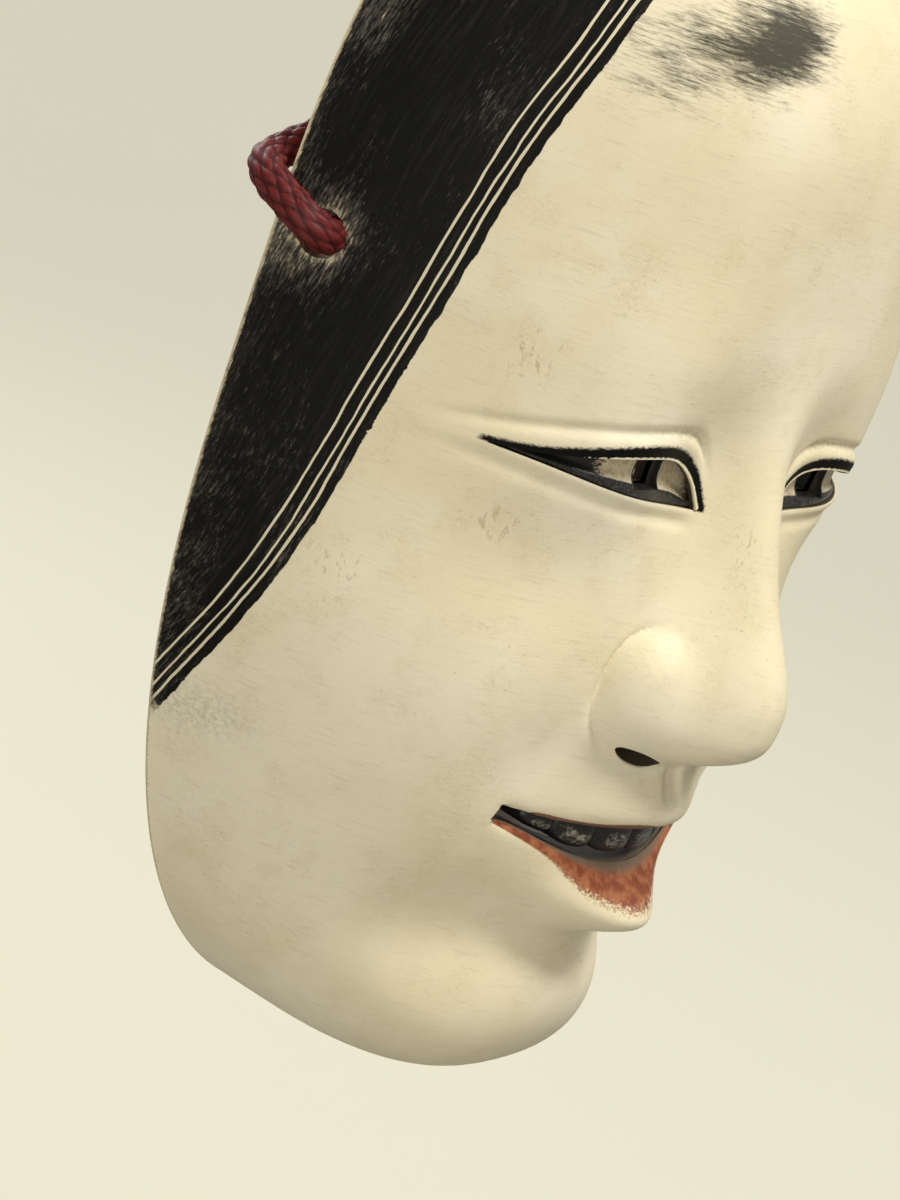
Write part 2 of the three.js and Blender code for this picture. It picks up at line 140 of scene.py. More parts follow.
upper_lip = spline([(0, 58.8), (8.4, 58.6), (13.8, 58.6), (18.8, 58.8), (23.8, 59.3), (26.6, 59.7),
                    (28.3, 58.9), (28.9, 57.4)])
lower_lip = spline([(0, 51.2), (7.1, 51.6), (13.4, 53), (19.5, 55), (25, 56.7), (28.9, 57.2)])
lip_border = spline([(0, 45.6), (4.8, 46), (8.5, 47), (12.3, 49), (15.1, 51), (19.9, 53.5), (24.3, 55.3),
                     (28.9, 57)])
teeth_edge = spline([(0, 53.2), (4, 53.2), (9.2, 53.5), (13.7, 54), (17, 55.2), (21, 56.3), (26, 57.6)])
HAIRLINE = [(0, 203), (14, 201.5), (27, 196.5), (37.5, 188.5), (44.6, 178.4), (48.9, 168), (51.9, 158),
            (53.9, 148), (55.3, 138), (56.5, 128), (57.6, 118), (58.6, 108), (59.6, 98), (60.7, 88),
            (61.5, 78), (61.7, 70), (61.4, 63), (60.6, 55)]
# the soft forms of each half of the face: height, centre (|x|, z), and reach sideways and upwards
SOFT_FORMS = {
    "eye socket": (-3.2, 17, 117, 11, 12),
    "eyeball under its lids": (1.9, 32, 115, 17, 9),
    "full cheek": (1.0, 36, 76, 16, 16),
    "hollow under the eye": (-1.6, 38, 97, 14, 10),
    "brow bone": (2.2, 34, 130, 18, 13),
    "fold beside the mouth": (-1.6, 27, 68, 8, 12),
    "forehead": (1.0, 30, 165, 22, 22),
    "upper lip": (3.4, 0, 61, 17, 12),
    "foot of the nose": (2.0, 0, 65.5, 11, 5.5),
}
JAW_HOLLOW = (5.4, 25, 35, 13, 13)
CHIN_FOLD = (4.4, 0, 35.2, 17, 5)
CHIN = (1.6, 0, 25, 16, 11)
CHIN_ROUND, CROWN_ROUND = 40, 54
WING_X, WING_Z, WING_HALF_WIDTH, WING_HALF_HEIGHT = 10.2, 82, 10.8, 11
WING_FOOT, WING_SWELL, WING_POWER, WING_FILLET = 46.5, 11.6, 2.3, 3.4


def oval_depth(x, z):
    """The plain oval of the mask before its features are carved."""
    chin = (1 - np.clip(1 - z / CHIN_ROUND, 0, 1) ** 4) ** 0.39
    crown = (1 - np.clip((z - HEIGHT + CROWN_ROUND) / CROWN_ROUND, 0, 1) ** 2.5) ** 0.5
    ends = np.where(z < HEIGHT / 2, chin, crown)
    return front_line(z) * ends * (1 - share_of_width(x, z) ** squareness(z)) ** (1 / steepness(z))


def share_of_width(x, z):
    """0 on the plane of symmetry, 1 on the back rim."""
    return np.clip(np.abs(x) / np.maximum(half_width(z), 1e-6), 0, 1)


def soft_form(x, z, form):
    height, centre_x, centre_z, wide, tall = form
    return height * hill(np.abs(x) - centre_x, z - centre_z, wide, tall)


def jaw_hollow(x, z):
    return soft_form(x, z, JAW_HOLLOW)


def face_depth(x, z):
    """The carved face as one smooth surface, its eyes and mouth still closed."""
    side = np.abs(x)
    t = share_of_width(x, z)
    relief = sum(soft_form(x, z, form) for form in SOFT_FORMS.values())
    relief -= jaw_hollow(x, z)
    relief -= soft_form(x, z, CHIN_FOLD)
    relief += nose_ridge(z) * np.exp(-(side / nose_half_width(z)) ** 2.4)
    depth = oval_depth(x, z) + relief
    inside = (1 - np.abs((side - WING_X) / WING_HALF_WIDTH) ** WING_POWER
              - np.abs((z - WING_Z) / WING_HALF_HEIGHT) ** WING_POWER)
    wing = WING_FOOT + WING_SWELL * np.clip(inside, 0, 1) ** (1 / WING_POWER)
    depth = smooth_max(depth, np.where(inside > 0, wing, -99), WING_FILLET)
    # the groove under the nose, the two lips and the chin
    depth = depth - 0.9 * hill(x, z - 68.5, 2.4, 4.5, 4)
    depth += 2.5 * hill(x, z - upper_lip(side) - 2.4, 14, 3.2)
    depth += 9.4 * hill(x, z - lower_lip(side) + 7.6, 13, 5.4)
    depth += soft_form(x, z, CHIN)
    return np.where(t < 1, depth * (1 - t ** 40), 0)


def groove(distance, depth, width, power=2):
    return depth * np.exp(-np.abs(distance / width) ** power)


def worked_depth(x, z):
    """The face with its fine carving: lid creases, lid and lip edges, nostril wings."""
    side = np.abs(x)
    depth = face_depth(x, z)
    along_eye = ramp(side, 10, 16) * ramp(side, 57, 44)
    above_crease = z - lid_crease(side)
    above_lid = z - lower_lid(side)
    depth = depth - along_eye * groove(above_crease, 0.75, 0.9)
    depth += along_eye * groove(above_crease + 2.2, 0.35, 1.6)
    depth += along_eye * groove(above_lid + 0.4, 0.22, 0.8)
    depth -= along_eye * groove(above_lid + 2.4, 0.45, 1.1)
    # the crease round each nostril wing
    turn = np.arctan2(z - 81.5, side - 10)
    reach = np.hypot((side - 10) / 11, (z - 81.5) / 11.2)
    wing_edge = ramp(turn, -1.35, -0.6) * ramp(turn, 1.45, 0.8)
    depth -= wing_edge * groove(np.abs(reach - 1.03), 1.1, 0.085, 1.6)
    # the rounded edges of the lips
    at_mouth = ramp(side, MOUTH_CORNER, MOUTH_CORNER - 3.5)
    below = lower_lip(side) - z
    above = z - upper_lip(side)
    depth -= 1.5 * at_mouth * np.exp(-np.clip(below, 0, 9) / 0.75) * (below > -3)
    depth -= 0.9 * at_mouth * np.exp(-np.clip(above, 0, 9) / 0.6) * (above > -3)
    return depth


# ------------------------------------------------------------------ placing the canon in the frame
SCALE_X = (COAT_HIGH.x - COAT_LOW.x) / WIDTH
SCALE_Y = (COAT_HIGH.y - COAT_LOW.y) / DEPTH
SCALE_Z = (COAT_HIGH.z - COAT_LOW.z) / HEIGHT


def canon_to_frame(x, depth, z):
    return np.stack([x * SCALE_X, COAT_HIGH.y - depth * SCALE_Y, COAT_LOW.z + z * SCALE_Z], -1)


def frame_to_canon(points):
    x = points[:, 0] / SCALE_X
    depth = (COAT_HIGH.y - points[:, 1]) / SCALE_Y
    z = (points[:, 2] - COAT_LOW.z) / SCALE_Z
    return x, depth, z


# ------------------------------------------------------------------ grids and meshes
def graded(low, high, step_at):
    """Positions from low to high, each step as long as step_at says there."""
    places = [low]
    while places[-1] < high:
        places.append(places[-1] + step_at(places[-1]))
    places = np.array(places)
    return low + (places - low) * (high - low) / (places[-1] - low)


# the step between rows of the fine grid, from one height to the next
FINE_BANDS = ((0, 41, 1.25), (41, 64, 0.34), (64, 92, 0.5), (92, 106, 0.9), (106, 124, 0.3),
              (124, 212, 1.35))
EDGE = 0.004


def closing_step(z):
    """The longest step allowed at this height: rows crowd together at the chin and the crown."""
    return 0.35 * (max(min(z, HEIGHT - z), 0) + 0.03)


def row_step(z):
    for low, high, step in FINE_BANDS:
        if low <= z < high:
            return min(step, closing_step(z))
    return 0.1


def column_step(u):
    """The step between columns, as a share of the half width."""
    if u < 0.78:
        return 0.0072
    return 0.0145 if u < 0.97 else 0.006


ROWS = graded(EDGE, HEIGHT - EDGE, row_step)
HALF_COLUMNS = graded(0, 1, column_step)
COLUMNS = np.concatenate([-HALF_COLUMNS[:0:-1], HALF_COLUMNS])


def every(count, stride):
    """Indices of every stride-th line of a grid, its last line always among them."""
    return sorted(set(range(0, count, stride)) | {count - 1})


def normals_of(grid):
    across = np.gradient(grid, axis=1)
    up = np.gradient(grid, axis=0)
    normals = np.cross(across, up)
    normals[0] = (0, 0, -1)
    normals[-1] = (0, 0, 1)
    return normals / np.maximum(np.linalg.norm(normals, axis=-1, keepdims=True), 1e-12)


def inset(grid, distance, normals=None):
    """The grid moved inwards, in metres. Towards the rim it slides within the back plane."""
    move = -(normals_of(grid) if normals is None else normals).copy()
    move[..., 1] *= np.clip((COAT_HIGH.y - grid[..., 1]) / (8 * MM), 0, 1)
    move /= np.maximum(np.linalg.norm(move, axis=-1, keepdims=True), 1e-12)
    return grid + move * np.asarray(distance)[..., None]


def surface_grid(rows, columns, depth_at):
    """Canon x and z and frame points of a carved surface, closed on the rim at both ends."""
    z = np.repeat(np.asarray(rows)[:, None], len(columns), 1)
    x = half_width(z) * np.asarray(columns)[None, :]
    depth = depth_at(x, z)
    depth[[0, -1]] = 0
    return x, z, canon_to_frame(x, depth, z)


def new_object(name, vertices, faces, smooth=True):
    mesh = bpy.data.meshes.new(name)
    mesh.from_pydata([tuple(v) for v in vertices], [], faces)
    mesh.update()
    thing = bpy.data.objects.new(name, mesh)
    bpy.context.scene.collection.objects.link(thing)
    if smooth:
        mesh.shade_smooth()
    return thing


def layer(name, front, back, rows=None, columns=None):
    """A closed layer: a front grid, a back grid of all or only some rows and columns, and an edge."""
    n_rows, n_columns = front.shape[:2]
    rows = rows or range(n_rows)
    columns = columns or range(n_columns)
    vertices = np.concatenate([front.reshape(-1, 3), back.reshape(-1, 3)])
    start = n_rows * n_columns
    wide = len(columns)

    def fore(r, c):
        return r * n_columns + c

    def rear(r, c):
        return start + r * wide + c

    faces = [(fore(r, c), fore(r, c + 1), fore(r + 1, c + 1), fore(r + 1, c))
             for r in range(n_rows - 1) for c in range(n_columns - 1)]
    faces += [(rear(r, c), rear(r + 1, c), rear(r + 1, c + 1), rear(r, c + 1))
              for r in range(len(rows) - 1) for c in range(wide - 1)]
    for i in range(len(rows) - 1):
        run = range(rows[i], rows[i + 1] + 1)
        faces.append([rear(i, 0)] + [fore(r, 0) for r in run] + [rear(i + 1, 0)])
        last = wide - 1
        faces.append([rear(i + 1, last)] + [fore(r, n_columns - 1) for r in reversed(run)] + [rear(i, last)])
    for i in range(wide - 1):
        run = range(columns[i], columns[i + 1] + 1)
        faces.append([rear(0, i + 1)] + [fore(0, c) for c in reversed(run)] + [rear(0, i)])
        top = len(rows) - 1
        faces.append([rear(top, i)] + [fore(n_rows - 1, c) for c in run] + [rear(top, i + 1)])
    return new_object(name, vertices, faces)


def cutter_between(name, vertices):
    """A closed cutter, from the points of its first end outline followed by those of its other end."""
    n = len(vertices) // 2
    faces = [list(range(n)), list(range(2 * n - 1, n - 1, -1))]
    faces += [(i, i + n, (i + 1) % n + n, (i + 1) % n) for i in range(n)]
    cutter = new_object(name, vertices, faces, smooth=False)
    outward(cutter)
    return cutter


def prism(name, outline):
    """A cutter through an outline of canon (x, z) points, from the back plane to beyond the nose."""
    x, z = np.array(outline, float).T
    ends = [canon_to_frame(x, np.full(len(x), depth), z) for depth in (0, THROUGH)]
    return cutter_between(name, np.concatenate(ends))


def rod(name, start, end, radius, sides=40, wide=1.0):
    """A round cutter between two points of the frame, or one that is wide times as broad sideways."""
    start, end = Vector(start), Vector(end)
    axis = (end - start).normalized()
    two = axis.cross(Vector((1, 0, 0.01))).normalized()
    one = two.cross(axis)
    ring = []
    for i in range(sides):
        t = 2 * math.pi * i / sides
        ring.append((one * wide * math.cos(t) + two * math.sin(t)) * radius)
    return cutter_between(name, [start + r for r in ring] + [end + r for r in ring])


def outward(thing):
    """Turns the faces of a closed mesh out."""
    work = bmesh.new()
    work.from_mesh(thing.data)
    bmesh.ops.recalc_face_normals(work, faces=work.faces)
    if work.calc_volume(signed=True) < 0:
        bmesh.ops.reverse_faces(work, faces=work.faces)
    work.to_mesh(thing.data)
    work.free()


def cut(thing, cutters):
    """Cuts every cutter out of a closed mesh and keeps the result as its mesh."""
    for cutter in cutters:
        modifier = thing.modifiers.new("cut", "BOOLEAN")
        modifier.operation = "DIFFERENCE"
        modifier.solver = "MANIFOLD"
        modifier.object = cutter
    settle(thing)


def settle(thing):
    """Applies the modifiers of an object to its mesh."""
    bpy.context.view_layer.update()
    shown = thing.evaluated_get(bpy.context.evaluated_depsgraph_get())
    made = bpy.data.meshes.new_from_object(shown)
    old = thing.data
    thing.modifiers.clear()
    thing.data = made
    bpy.data.meshes.remove(old)
    made.name = thing.name


def dress(thing, material):
    """Makes this the object's only material."""
    thing.data.materials.clear()
    thing.data.materials.append(material)


def soften(thing, degrees):
    """Smooth shading, broken where faces meet at more than this angle."""
    thing.data.shade_smooth()
    thing.data.set_sharp_from_angle(angle=math.radians(degrees))


def points_of(thing):
    flat = np.empty(len(thing.data.vertices) * 3)
    thing.data.vertices.foreach_get("co", flat)
    return flat.reshape(-1, 3)


def store(thing, name, values):
    """Keeps one number for each vertex, for the materials to read."""
    layer_data = thing.data.attributes.new(name, "FLOAT", "POINT")
    layer_data.data.foreach_set("value", np.asarray(values, np.float32))


def discard(things):
    for thing in things:
        mesh = thing.data
        bpy.data.objects.remove(thing)
        bpy.data.meshes.remove(mesh)


# ------------------------------------------------------------------ openings
def lens(lower, upper, start, end, steps=70):
    """The outline between two curves of the canon, both of them functions of |x|."""
    x = start + (end - start) * (1 - np.cos(np.pi * np.arange(steps + 1) / steps)) / 2
    below = [(a, float(lower(abs(a)))) for a in x]
    above = [(a, float(upper(abs(a)))) for a in x[-2:0:-1]]
    return below + above


def rectangle(x, z, width, height):
    a, b = width / 2, height / 2
    return [(x - a, z - b), (x + a, z - b), (x + a, z + b), (x - a, z + b)]


THROUGH = 95.0
SIDES = (("left", -1), ("right", 1))
NOSTRIL_OUTSIDE = (12.6, 58.0, 66.0)
NOSTRIL_INSIDE = (8.0, 45.5, 83.0)
NOSTRIL_RADIUS, NOSTRIL_SPREAD = 2.1, 2.5


def eye_windows():
    made = []
    for name, side in SIDES:
        start, end = sorted((side * EYE_INNER, side * (EYE_OUTER - 0.1)))
        made.append(prism(f"eye_window_{name}", lens(lower_lid, upper_lid, start, end)))
    return made


def pupil_holes(extra):
    """The square holes that the actor looks through, larger by extra in the lining."""
    made = []
    for name, side in SIDES:
        hole = rectangle(side * PUPIL_X, PUPIL_Z, PUPIL_WIDTH + extra, PUPIL_HEIGHT + extra)
        made.append(prism(f"pupil_{name}", hole))
    return made


def nostrils():
    made = []
    for name, side in SIDES:
        outside, inside = (canon_to_frame(side * x, depth, z)
                           for x, depth, z in (NOSTRIL_OUTSIDE, NOSTRIL_INSIDE))
        made.append(rod(f"nostril_{name}", outside, inside, NOSTRIL_RADIUS * MM, wide=NOSTRIL_SPREAD))
    return made


def hole_outer(side):
    """Where a cord hole opens on the face."""
    x, z = np.array(side * CORD_HOLE_X), np.array(CORD_HOLE_Z)
    return Vector(canon_to_frame(x, face_depth(x, z), z))


def hole_out(side):
    """The outward direction of a cord hole."""
    return Vector((side, -HOLE_SLANT, 0)).normalized()


def cord_bores():
    made = []
    for name, side in SIDES:
        reach = hole_out(side) * (RIM_WIDTH + SHELL_WALL) * MM
        middle = hole_outer(side)
        made.append(rod(f"bore_{name}", middle - reach, middle + reach, BORE_DIAMETER / 2 * MM))
    return made


def mouth_window():
    return prism("mouth_window", lens(lower_lip, upper_lip, -MOUTH_CORNER, MOUTH_CORNER, 90))


# ------------------------------------------------------------------ material writing
class Paint:
    """Writes one material's nodes. Its methods return sockets or take them, or plain numbers."""

    def __init__(self, name):
        self.material = bpy.data.materials.new(name)
        self.material.use_nodes = True
        self.tree = self.material.node_tree
        self.shader = self.tree.nodes["Principled BSDF"]
        self.place = self.node("ShaderNodeTexCoord").outputs["Object"]

    def node(self, kind, **settings):
        made = self.tree.nodes.new(kind)
        for key, value in settings.items():
            setattr(made, key, value)
        return made

    def feed(self, socket, value):
        if isinstance(value, bpy.types.NodeSocket):
            self.tree.links.new(value, socket)
        elif isinstance(value, tuple) and len(value) == 3 and socket.type == "RGBA":
            socket.default_value = (*value, 1)
        else:
            socket.default_value = value

    def math(self, operation, a, b=0.0):
        made = self.node("ShaderNodeMath", operation=operation)
        self.feed(made.inputs[0], a)
        self.feed(made.inputs[1], b)
        return made.outputs[0]

    def add(self, *terms):
        total = terms[0]
        for term in terms[1:]:
            total = self.math("ADD", total, term)
        return total

    def times(self, *terms):
        total = terms[0]
        for term in terms[1:]:
            total = self.math("MULTIPLY", total, term)
        return total

    def between(self, value, start, end):
        """0 at start and 1 at end, smooth and clamped."""
        made = self.node("ShaderNodeMapRange", interpolation_type="SMOOTHSTEP")
        self.feed(made.inputs["Value"], value)
        low, high = min(start, end), max(start, end)
        self.feed(made.inputs["From Min"], low)
        self.feed(made.inputs["From Max"], high)
        rising = start < end
        self.feed(made.inputs["To Min"], 0.0 if rising else 1.0)
        self.feed(made.inputs["To Max"], 1.0 if rising else 0.0)
        return made.outputs["Result"]

    def off_middle(self, value):
        """A noise value less its mean of a half."""
        return self.math("SUBTRACT", value, 0.5)

    def attribute(self, name):
        return self.node("ShaderNodeAttribute", attribute_name=name).outputs["Fac"]

    def stretched(self, x, y, z):
        """The object's place in millimetres times these factors, so that noise of scale 1 is 1 mm."""
        made = self.node("ShaderNodeVectorMath", operation="MULTIPLY")
        self.feed(made.inputs[0], self.place)
        made.inputs[1].default_value = (x / MM, y / MM, z / MM)
        return made.outputs[0]

    def vector(self, x, y, z):
        made = self.node("ShaderNodeCombineXYZ")
        for socket, value in zip(made.inputs, (x, y, z)):
            self.feed(socket, value)
        return made.outputs[0]

    def noise(self, vector, detail=4.0, roughness=0.55, distortion=0.0):
        made = self.node("ShaderNodeTexNoise")
        self.feed(made.inputs["Vector"], vector)
        made.inputs["Scale"].default_value = 1.0
        made.inputs["Detail"].default_value = detail
        made.inputs["Roughness"].default_value = roughness
        made.inputs["Distortion"].default_value = distortion
        return made.outputs["Fac"]

    def cells(self, vector, feature="F1"):
        made = self.node("ShaderNodeTexVoronoi", feature=feature)
        self.feed(made.inputs["Vector"], vector)
        made.inputs["Scale"].default_value = 1.0
        return made.outputs["Distance"]

    def mix(self, factor, a, b):
        made = self.node("ShaderNodeMix", data_type="RGBA")
        self.feed(made.inputs[0], factor)
        self.feed(made.inputs[6], a)
        self.feed(made.inputs[7], b)
        return made.outputs[2]

    def blend(self, factor, a, b):
        made = self.node("ShaderNodeMix", data_type="FLOAT")
        self.feed(made.inputs[0], factor)
        self.feed(made.inputs[2], a)
        self.feed(made.inputs[3], b)
        return made.outputs[0]

    def finish(self, colour, roughness, height=None, relief=0.1 * MM, strength=1.0, **constants):
        """Feeds the shader. height is 0 to 1 and relief is how deep it is, in metres."""
        self.feed(self.shader.inputs["Base Color"], colour)
        self.feed(self.shader.inputs["Roughness"], roughness)
        if height is not None:
            bump = self.node("ShaderNodeBump")
            bump.inputs["Strength"].default_value = strength
            bump.inputs["Distance"].default_value = relief
            self.feed(bump.inputs["Height"], height)
            self.feed(self.shader.inputs["Normal"], bump.outputs["Normal"])
        for key, value in constants.items():
            self.shader.inputs[key.replace("_", " ")].default_value = value
        return self.material


IVORY = (0.74, 0.66, 0.46)
IVORY_PALE = (0.80, 0.735, 0.56)
IVORY_YELLOW = (0.68, 0.565, 0.33)
INK = (0.003, 0.003, 0.0025)
INK_WORN = (0.075, 0.068, 0.055)
GESSO_WORN = (0.52, 0.45, 0.31)
VERMILION = (0.37, 0.14, 0.062)
LIP_BROWN = (0.16, 0.05, 0.03)
MOUTH_GREY = (0.17, 0.145, 0.105)
SCRATCH_BROWN = (0.30, 0.23, 0.13)
# each strand of hair beside the hairline: place inside it, sway, seed and thickness, in millimetres
LOOSE_STRANDS = ((1.75, 0.35, 3.1, 0.22), (3.0, 0.6, 7.7, 0.18), (4.9, 0.45, 12.3, 0.2))


def gesso_paint():
    """Ivory gesso with its brushed ink hair, brow, eye lines and vermilion lips."""
    p = Paint("painted gesso")
    hair = p.attribute("hair")
    along = p.attribute("along")
    side = p.attribute("side")
    up = p.attribute("up")
    sunk = p.attribute("sunk")

    # ivory ground
    broad = p.noise(p.stretched(0.03, 0.03, 0.03), 3)
    patches = p.noise(p.stretched(0.11, 0.11, 0.11), 5, 0.65)
    grain = p.noise(p.stretched(1.4, 1.4, 1.4), 6, 0.7)
    strokes = p.noise(p.stretched(0.18, 0.18, 2.2), 5, 0.6, 0.4)
    ground = p.mix(p.between(broad, 0.35, 0.65), IVORY, IVORY_PALE)
    ground = p.mix(p.times(p.between(patches, 0.5, 0.75), 0.26), ground, IVORY_YELLOW)
    ground = p.mix(p.times(p.between(grain, 0.5, 0.8), 0.22), ground, GESSO_WORN)
    ground = p.mix(p.times(p.between(strokes, 0.54, 0.70), 0.24), ground, GESSO_WORN)
    # hairline scratches and tiny brown specks
    scratch_field = p.noise(p.stretched(0.5, 0.5, 0.9), 2, 0.5, 2.2)
    thin = p.math("ABSOLUTE", p.off_middle(scratch_field))
    scratch = p.times(p.between(thin, 0.005, 0.001), p.between(patches, 0.47, 0.6), 0.42)
    ground = p.mix(scratch, ground, SCRATCH_BROWN)
    speck = p.times(p.between(p.cells(p.stretched(0.33, 0.33, 0.33)), 0.07, 0.03),
                    p.between(p.noise(p.stretched(0.06, 0.06, 0.06), 2), 0.56, 0.66), 0.55)
    ground = p.mix(speck, ground, (0.33, 0.22, 0.10))
    tick_lines = p.noise(p.stretched(0.9, 0.9, 0.35), 4, 0.6, 1.0)
    ticks = p.times(p.attribute("ticks"), p.between(tick_lines, 0.56, 0.62), 0.42)
    ground = p.mix(ticks, ground, SCRATCH_BROWN)
    # painted shade in the lid creases, with grime and small stains, darkens the ivory ground
    shade_and_grime_amount = p.noise(p.stretched(1.1, 1.1, 1.4), 6, 0.7)
    grime_and_crease_shade = p.times(p.attribute("grime_and_crease_shade"), p.between(shade_and_grime_amount, 0.36, 0.68))
    ground = p.mix(p.times(grime_and_crease_shade, 0.6), ground, (0.16, 0.14, 0.10))

    # brows: dry brush strokes that run across the forehead
    brow = p.attribute("brow")
    bristle = p.noise(p.stretched(0.24, 0.24, 2.2), 10, 0.8, 0.5)
    blot = p.noise(p.stretched(0.12, 0.12, 0.3), 3, 0.5)
    load = p.add(p.times(brow, 0.46), p.times(blot, 0.30), p.times(bristle, 0.95))
    brow_ink = p.times(p.between(load, 0.80, 1.10), p.between(brow, 0.03, 0.3))
    ground = p.mix(p.times(brow_ink, 0.93), ground, (0.018, 0.017, 0.014))

    # lips
    lip = p.attribute("lip")
    speckle = p.noise(p.stretched(2.2, 2.2, 2.2), 4, 0.7)
    spots = p.noise(p.stretched(1.9, 1.9, 1.9), 9, 0.85)
    worn_lip = p.add(lip, p.times(p.off_middle(spots), p.attribute("front_lip"), 2.0))
    red = p.times(p.between(worn_lip, 1.12, 0.86), p.attribute("on_lip"))
    rouge = p.noise(p.stretched(0.5, 0.5, 0.5), 4)
    red_tone = p.mix(p.between(rouge, 0.35, 0.65), VERMILION, (0.22, 0.058, 0.030))
    ground = p.mix(red, ground, red_tone)
    ground = p.mix(p.times(p.between(lip, 0.30, 0.06), p.attribute("on_lip"), 0.8), ground, MOUTH_GREY)
    upper = p.add(p.attribute("upper_red"), p.times(speckle, 0.3))
    ground = p.mix(p.times(p.between(upper, 0.5, 0.75), 0.9), ground, LIP_BROWN)

    # hair: black ink with dry streaks, worn through near the rim and round the cord hole
    wobble = p.off_middle(p.noise(p.vector(p.times(along, 0.22), side, 0.0), 3))
    edge = p.add(hair, p.times(wobble, 0.9))
    lower_end = p.add(up, p.times(p.noise(p.stretched(0.8, 0.8, 0.8), 6, 0.75), 7.0))
    hair_mask = p.times(p.between(edge, 0.0, 0.14), p.between(lower_end, 59.0, 62.0))
    streak = p.noise(p.vector(p.times(along, 0.09), p.times(hair, 1.5), p.times(side, 0.1)), 7, 0.7, 0.3)
    fleck = p.noise(p.vector(p.times(along, 0.5), p.times(hair, 2.6), p.times(side, 0.4)), 6, 0.8)
    cloud = p.noise(p.stretched(0.07, 0.07, 0.05), 4, 0.6)
    rim_wear = p.between(p.attribute("rim"), 12.0, 0.0)
    hole_wear = p.between(p.attribute("hole"), 12.0, 3.0)
    worn = p.add(p.times(rim_wear, 0.07), p.times(hole_wear, 0.15), p.times(cloud, 0.34),
                 p.times(fleck, 0.68))
    hair_tone = p.mix(p.between(streak, 0.44, 0.78), INK, (0.019, 0.018, 0.014))
    hair_tone = p.mix(p.between(worn, 0.56, 0.66), hair_tone, INK_WORN)
    hair_tone = p.mix(p.between(worn, 0.665, 0.74), hair_tone, GESSO_WORN)
    colour = p.mix(hair_mask, ground, hair_tone)

    # the three fine strands left in the ground colour along the hairline
    inner_lines = p.between(hair, 0.4, 0.8)
    for place, sway, seed, thickness in LOOSE_STRANDS:
        drift = p.noise(p.vector(p.times(along, 0.06), seed, 0.0), 3, 0.6)
        line = p.add(hair, p.times(p.off_middle(drift), sway * 2), -place)
        width = p.times(p.add(p.noise(p.vector(p.times(along, 0.15), seed, 5.0), 3), 0.5), thickness)
        gap = p.math("SUBTRACT", width, p.math("ABSOLUTE", line))
        strand = p.times(p.between(gap, -0.02, 0.06), inner_lines, p.between(lower_end, 60.0, 63.0))
        colour = p.mix(strand, colour, (0.70, 0.63, 0.45))

    # ink lines of the upper lids, with the pale edge of the lid below them
    lid = p.attribute("lid_line")
    dry = p.noise(p.stretched(1.6, 1.6, 3.0), 6, 0.75)
    past_bare = p.math("SUBTRACT", p.add(lid, p.times(dry, 0.3)), p.attribute("lid_bare"))
    past_top = p.add(p.math("SUBTRACT", lid, p.attribute("lid_top")), p.times(dry, 1.5))
    ink_line = p.times(p.between(past_bare, 0.02, 0.16), p.between(past_top, 1.15, 0.55),
                       p.attribute("on_lid"))
    colour = p.mix(ink_line, colour, INK)
    # the ground shows where the cord has rubbed round its hole
    rubbed = p.times(p.between(p.attribute("hole"), 7.5, 3.6), 0.34)
    ring = p.between(p.add(rubbed, p.times(fleck, 0.6)), 0.60, 0.67)
    colour = p.mix(ring, colour, GESSO_WORN)
    # the pale worn arris along the back rim
    arris = p.between(p.add(p.attribute("rim"), p.times(fleck, 1.2)), 0.95, 0.7)
    colour = p.mix(arris, colour, (0.50, 0.43, 0.29))
    # cut edges inside the mouth, eyes and nostrils
    deep = p.times(p.between(sunk, 0.25, 0.6), p.attribute("opening"))
    cut_tone = p.mix(p.between(up, 63.0, 66.0), MOUTH_GREY, (0.05, 0.038, 0.025))
    colour = p.mix(deep, colour, cut_tone)

    ink_any = p.math("MAXIMUM", hair_mask, ink_line)
    roughness = p.blend(ink_any, p.add(0.26, p.times(patches, 0.26), p.times(grain, 0.1)),
                        p.add(0.42, p.times(streak, 0.35)))
    fine_cracks = p.between(p.cells(p.stretched(0.5, 0.5, 0.5), "DISTANCE_TO_EDGE"), 0.0, 0.02)
    height = p.add(p.times(strokes, 0.35), p.times(grain, 0.25), p.times(fine_cracks, 0.10),
                   p.times(hair_mask, p.add(streak, 0.1), 0.9), p.times(scratch, -1.0))
    return p.finish(colour, roughness, height, relief=0.12 * MM, strength=0.7, Specular_IOR_Level=0.11)


def eyeball_paint():
    """The painted eye behind the lids: ink outside, ivory beside the pupil hole, a black lower ledge."""
    p = Paint("painted eye")
    side = p.attribute("side")
    ledge = p.attribute("ledge")
    dry = p.noise(p.stretched(1.2, 1.2, 4.0), 6, 0.75)
    wide = p.add(side, p.times(p.off_middle(dry), 9.0))
    ivory = p.times(p.between(wide, 35.2, 34.0), p.between(wide, 11.0, 14.6))
    grain = p.noise(p.stretched(1.3, 1.3, 1.3), 6, 0.7)
    pale = p.mix(p.between(grain, 0.4, 0.7), (0.55, 0.47, 0.32), (0.36, 0.29, 0.18))
    colour = p.mix(ivory, INK, pale)
    outline = p.between(p.attribute("to_pupil"), 0.5, 0.25)
    colour = p.mix(outline, colour, INK)
    on_ledge = p.between(p.add(ledge, p.times(p.off_middle(dry), 0.5)), 1.95, 1.75)
    ledge_tone = p.mix(p.between(grain, 0.45, 0.75), (0.012, 0.012, 0.012), (0.06, 0.06, 0.055))
    colour = p.mix(on_ledge, colour, ledge_tone)
    colour = p.mix(p.between(p.attribute("sunk"), 0.5, 0.9), colour, (0.035, 0.025, 0.015))
    roughness = p.blend(on_ledge, 0.5, 0.2)
    return p.finish(colour, roughness, p.add(grain, dry), relief=0.06 * MM, strength=0.5)


